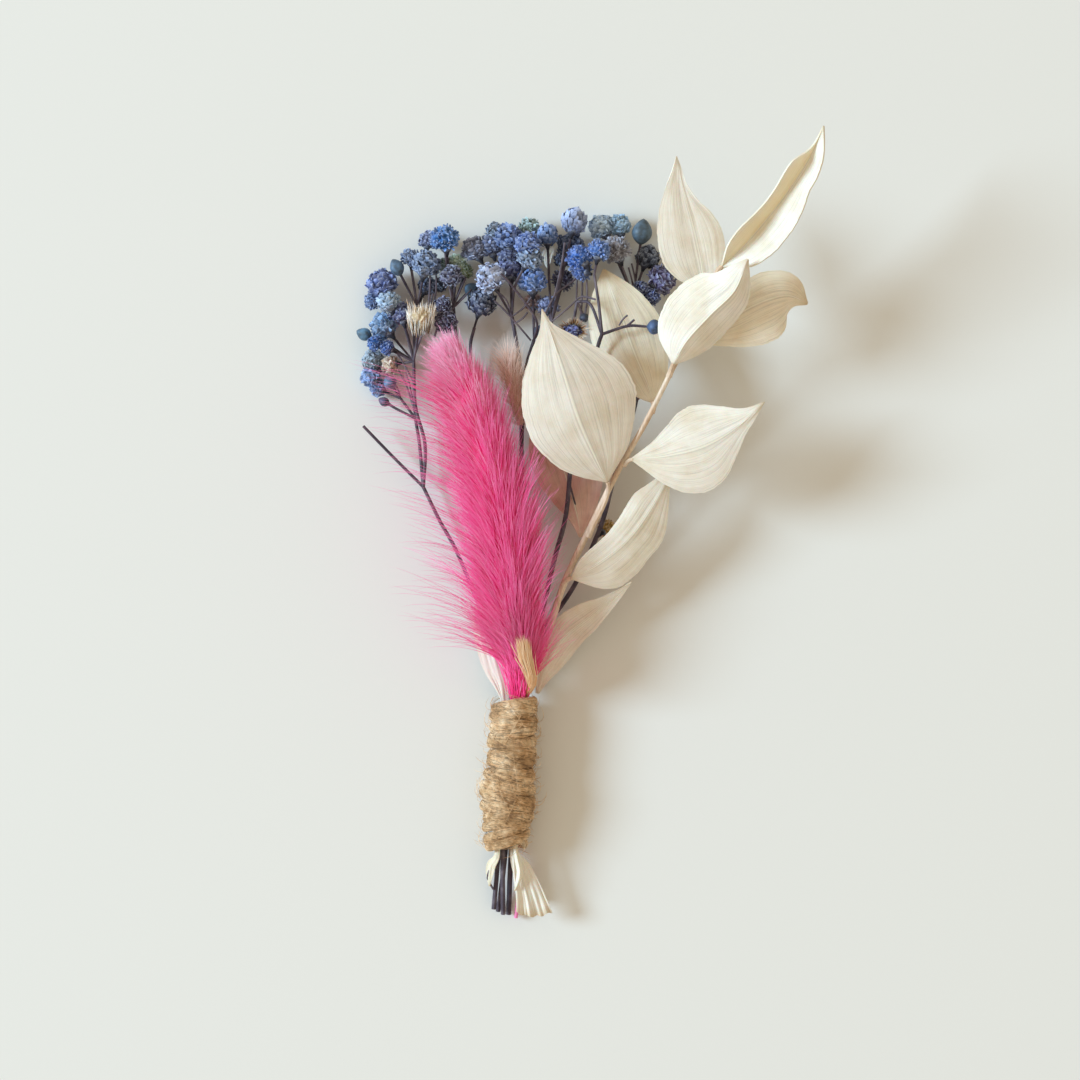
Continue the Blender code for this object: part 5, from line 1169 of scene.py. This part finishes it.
twine = {
    "top": (-14.05, -32.5, 5.6), "end": (-15.6, -62.0, 4.5), "turns": 15, "radius": 0.85, "step": 0.4,
    "profile": ((0.0, 4.0), (0.25, 4.4), (0.48, 4.3), (0.6, 5.1), (0.7, 5.0), (0.85, 4.3), (1.0, 3.6)),
    "lean": ((0.0, 0.0), (0.5, 0.1), (0.62, 0.45), (0.75, 0.3), (1.0, 0.0)),
    "underBulge": 4.4, "outer": 0.36, "flat": 0.88, "wide": 1.24,
    "slant": ((0.0, 0.1), (0.2, 0.35), (0.32, -0.2), (0.42, -0.55), (0.52, 0.1), (0.7, 0.8), (1.0, 1.05)),
    "turnLength": 24.5, "sides": 15, "fibres": 2250, "flyaways": 330, "fibreLengths": (3.0, 9.0),
    "fibreTurn": 25.0, "fibreRadii": (0.035, 0.085), "seed": 4,
}
overTurns = {"from": 0.46, "to": 0.78, "turns": 5.3, "slant": -1.1, "turnLength": 29.0}
# loose fibres that cross the turns: share down the binding and angle round it, in turns, at both ends
looseFibres = [((0.1, 0.2), (0.3, 0.3)), ((0.36, 0.24), (0.6, 0.19)), ((0.6, 0.18), (0.82, 0.27)),
               ((0.05, 0.12), (0.16, 0.02)), ((0.4, 0.1), (0.56, 0.02)), ((0.7, 0.34), (0.84, 0.42)),
               ((0.2, 0.36), (0.44, 0.44)), ((0.5, 0.33), (0.74, 0.23)), ((0.02, 0.3), (0.2, 0.16))]


def twineCentre(share):
    lean = Vector((stopAt(twine["lean"], share), 0, 0))
    return Vector(twine["top"]).lerp(Vector(twine["end"]), share) - lean


def windingRing(share, turn, radius, slant):
    # the middle of the twine there, and the way out of the binding
    angle = math.tau * turn
    out = Vector((math.cos(angle), 0.0, math.sin(angle)))
    spot = twineCentre(share) + out * radius + Vector((0.0, slant * math.cos(angle), 0.0))
    spot.z = max(spot.z, twine["radius"] * twine["flat"] * 1.1)
    return place(*spot), out


def firstWinding(t):
    # t from 0 to 1 over the whole length of the first layer
    share = 0.026 + 0.946 * t + 0.005 * math.sin(41 * t) * math.sin(math.pi * t)
    radius = min(stopAt(twine["profile"], share), twine["underBulge"])
    radius += twine["outer"] - twine["radius"] * twine["flat"]
    radius += 0.07 * math.sin(23 * t) + 0.07 * math.sin(61 * t + 1)
    slant = stopAt(twine["slant"], share) + 0.4 * math.sin(37 * t)
    return windingRing(share, twine["turns"] * t, radius, slant)


def secondWinding(t):
    # the outer layer, whose ends sink into the first
    share = overTurns["from"] + (overTurns["to"] - overTurns["from"]) * t
    sink = 1.2 * (max(0.0, 0.1 - t) + max(0.0, t - 0.9)) / 0.1
    radius = stopAt(twine["profile"], share) + twine["outer"] - twine["radius"] * twine["flat"] - sink
    slant = overTurns["slant"] * math.sin(math.pi * t) + 0.4 * math.sin(19 * t)
    return windingRing(share, overTurns["turns"] * t + 0.3, radius, slant)


def crossWay(winding, t, out):
    # the way out and the way across, square to the twine
    heading = (winding(min(t + 0.0004, 1.0))[0] - winding(max(t - 0.0004, 0.0))[0]).normalized()
    out = (out - heading * out.dot(heading)).normalized()
    return out, heading.cross(out)


def addTwine(bundle, winding, layer, shade):
    steps = round(layer["turns"] * layer["turnLength"] / twine["step"])
    draw = random.Random(twine["seed"])
    swell = [draw.uniform(0.84, 1.08) for i in range(steps // 7 + 2)]
    points, ways = [], []
    for i in range(steps + 1):
        spot, out = winding(i / steps)
        out, across = crossWay(winding, i / steps, out)
        points.append(spot)
        ways.append((out * twine["flat"], across * twine["wide"]))
    radii = [twine["radius"] * mm * curveValue(swell, i / steps) for i in range(steps + 1)]
    # three plies twist round each other
    addTube(bundle, points, radii, twine["sides"], shade=shade, ways=ways,
            lobes=lambda i, angle: 0.82 + 0.2 * abs(math.cos(1.5 * (angle - 0.24 * i))))


def addFibres(bundle, winding, turns, count, draw, flying):
    # short fibres that lie round the twine, or spring off it
    for k in range(count):
        start = draw.random()
        span = draw.uniform(*twine["fibreLengths"]) / (turns * twine["fibreTurn"])
        around = draw.uniform(-1.7, 1.7)
        turnRate = draw.uniform(0.2, 2.6)
        spring = draw.uniform(1.2, 3.6) if flying else 0.0
        points = []
        for i in range(8):
            t = min(start + span * i / 7, 1.0)
            spot, out = winding(t)
            out, across = crossWay(winding, t, out)
            angle = around + turnRate * (i / 7 - 0.5)
            away = 0.97 + 0.05 * math.sin(3 * around + i) + spring * (i / 7) ** 2
            aside = out * math.cos(angle) * twine["flat"] + across * math.sin(angle) * twine["wide"]
            points.append(spot + aside * twine["radius"] * away * mm)
        # none dips to the table or is cut short by the end of the winding
        if min(point.z for point in points) < 0.2 * mm or (points[-1] - points[0]).length < 0.5 * mm:
            continue
        width = draw.uniform(*twine["fibreRadii"]) * (0.6 if flying else 1) * mm
        shade = 1.0 if flying else draw.choice((draw.uniform(0.0, 0.3), draw.uniform(0.4, 0.8), 1.0, 1.0))
        addTube(bundle, points, [width * 0.6] + [width] * 6 + [0], 3, shade=shade)


wrapBundle = newBundle()
addTwine(wrapBundle, firstWinding, twine, 0.5)
addTwine(wrapBundle, secondWinding, overTurns, 0.55)
fibreDraw = random.Random(twine["seed"])
addFibres(wrapBundle, firstWinding, twine["turns"], twine["fibres"], fibreDraw, False)
addFibres(wrapBundle, secondWinding, overTurns["turns"], twine["fibres"] // 2, fibreDraw, False)
addFibres(wrapBundle, firstWinding, twine["turns"], twine["flyaways"], fibreDraw, True)
addFibres(wrapBundle, secondWinding, overTurns["turns"], twine["flyaways"] // 3, fibreDraw, True)
for (startShare, startTurn), (endShare, endTurn) in looseFibres:
    points = []
    for i in range(15):
        share = startShare + (endShare - startShare) * i / 14
        angle = math.tau * (startTurn + (endTurn - startTurn) * i / 14)
        radius = stopAt(twine["profile"], share) + twine["outer"] + 0.12 + 0.12 * math.sin(i)
        points.append(place(*(twineCentre(share) + Vector((math.cos(angle), 0, math.sin(angle))) * radius)))
    addTube(wrapBundle, points, [0.03 * mm] + [0.055 * mm] * 13 + [0], 4, shade=1.0)
bundlePiece("twineWrap", wrapBundle, spunJute)

tail = {
    "route": [(-12.29, -36.04, 6.52), (-12.1, -32.5, 6.65), (-11.3, -30.9, 8.0), (-10.8, -28.6, 11.0),
              (-12.0, -24.5, 14.6), (-12.9, -20.6, 17.2)],
    "radii": ((0.0, 0.5), (0.3, 0.58), (0.5, 0.75), (0.7, 0.98), (0.88, 1.25), (1.0, 1.4)),
    "fibres": 330, "strayShare": 0.18, "stray": 0.9, "seed": 6,
}
tailPoints = places(tail["route"])
tailBundle = newBundle()
# a core that the fibres hide and that narrows over its last fifth
tailShares = evenShares(20)
coreRadii = [stopAt(tail["radii"], u) * 0.6 * min(1.0, (1 - u) / 0.2 + 0.02) * mm for u in tailShares]
addTube(tailBundle, [curvePoint(tailPoints, u * 0.93) for u in tailShares], coreRadii, 10, shade=0.3)
tailDraw = random.Random(tail["seed"])
for k in range(tail["fibres"]):
    angle = tailDraw.uniform(0, math.tau)
    out = math.sqrt(tailDraw.random())
    twist = tailDraw.uniform(0.4, 1.2)
    begin = tailDraw.uniform(0.0, 0.55)
    finish = tailDraw.uniform(0.8, 1.0)
    stray = tail["stray"] if tailDraw.random() < tail["strayShare"] else 0.0
    points = []
    for i in range(9):
        t = begin + (finish - begin) * i / 8
        centre, heading, left, above = axisFrame(tailPoints, t)
        turned = angle + twist * t
        radius = stopAt(tail["radii"], t) * out * (1 + stray * (i / 8) ** 2)
        points.append(centre + (left * math.cos(turned) + above * math.sin(turned)) * radius * mm)
    width = tailDraw.uniform(0.04, 0.085) * mm
    addTube(tailBundle, points, [width] * 8 + [0], 4, shade=tailDraw.uniform(0.3, 1.0))
bundlePiece("twineTail", tailBundle, goldenFibre)
print("twine made")


# floor, light and camera

stage = {
    "floor": "#E9E9E4", "floorSize": 3.0,
    "key": (0.6, 0.795, 0.975), "keyPower": 187.0, "keySize": 1.4, "keyElevation": 30.0, "keyFrom": 171.0,
    "keyDistance": 4.0, "fill": (1.0, 0.86, 0.67), "fillStrength": 0.61,
    "cameraPlace": (-9.26, -2.55, 600.0), "lens": 104.06,
}

bpy.ops.mesh.primitive_plane_add(size=stage["floorSize"])
floor = bpy.context.object
floor.name = "floor"
# Matt painted board, pale warm grey.
paintedBoard, addToBoard = newMaterial("paintedBoard")
addToBoard("Principled", {
    "Base Color": hexToLinear(stage["floor"]), "Roughness": 0.7, "Specular IOR Level": 0.2})
floor.data.materials.append(paintedBoard)
floor.location = (0, 0, -0.00005)  # just below the lowest bloom

keyLight = bpy.data.lights.new("keyLight", "AREA")
keyLight.shape = "DISK"
keyLight.size = stage["keySize"]
keyLight.energy = stage["keyPower"]
keyLight.color = stage["key"]
key = bpy.data.objects.new("keyLight", keyLight)
bpy.context.scene.collection.objects.link(key)
elevation, azimuth = math.radians(stage["keyElevation"]), math.radians(stage["keyFrom"])
towards = Vector((math.cos(elevation) * math.cos(azimuth), math.cos(elevation) * math.sin(azimuth),
                  math.sin(elevation)))
key.location = towards * stage["keyDistance"]
key.rotation_euler = towards.to_track_quat("Z", "Y").to_euler()

world = bpy.data.worlds.new("studio")
world.use_nodes = True
background = world.node_tree.nodes["Background"]
background.inputs["Color"].default_value = stage["fill"] + (1.0,)
background.inputs["Strength"].default_value = stage["fillStrength"]
bpy.context.scene.world = world
# colours are shown as they are, with no film curve, so that the strong pink stays strong
bpy.context.scene.view_settings.view_transform = "Standard"

camera = bpy.data.cameras.new("camera")
camera.lens = stage["lens"]
camera.sensor_width = 36.0
camera.clip_start = 0.05
camera.clip_end = 10.0
cameraHolder = bpy.data.objects.new("camera", camera)
bpy.context.scene.collection.objects.link(cameraHolder)
cameraHolder.location = place(*stage["cameraPlace"])
bpy.context.scene.camera = cameraHolder

print("stage made")
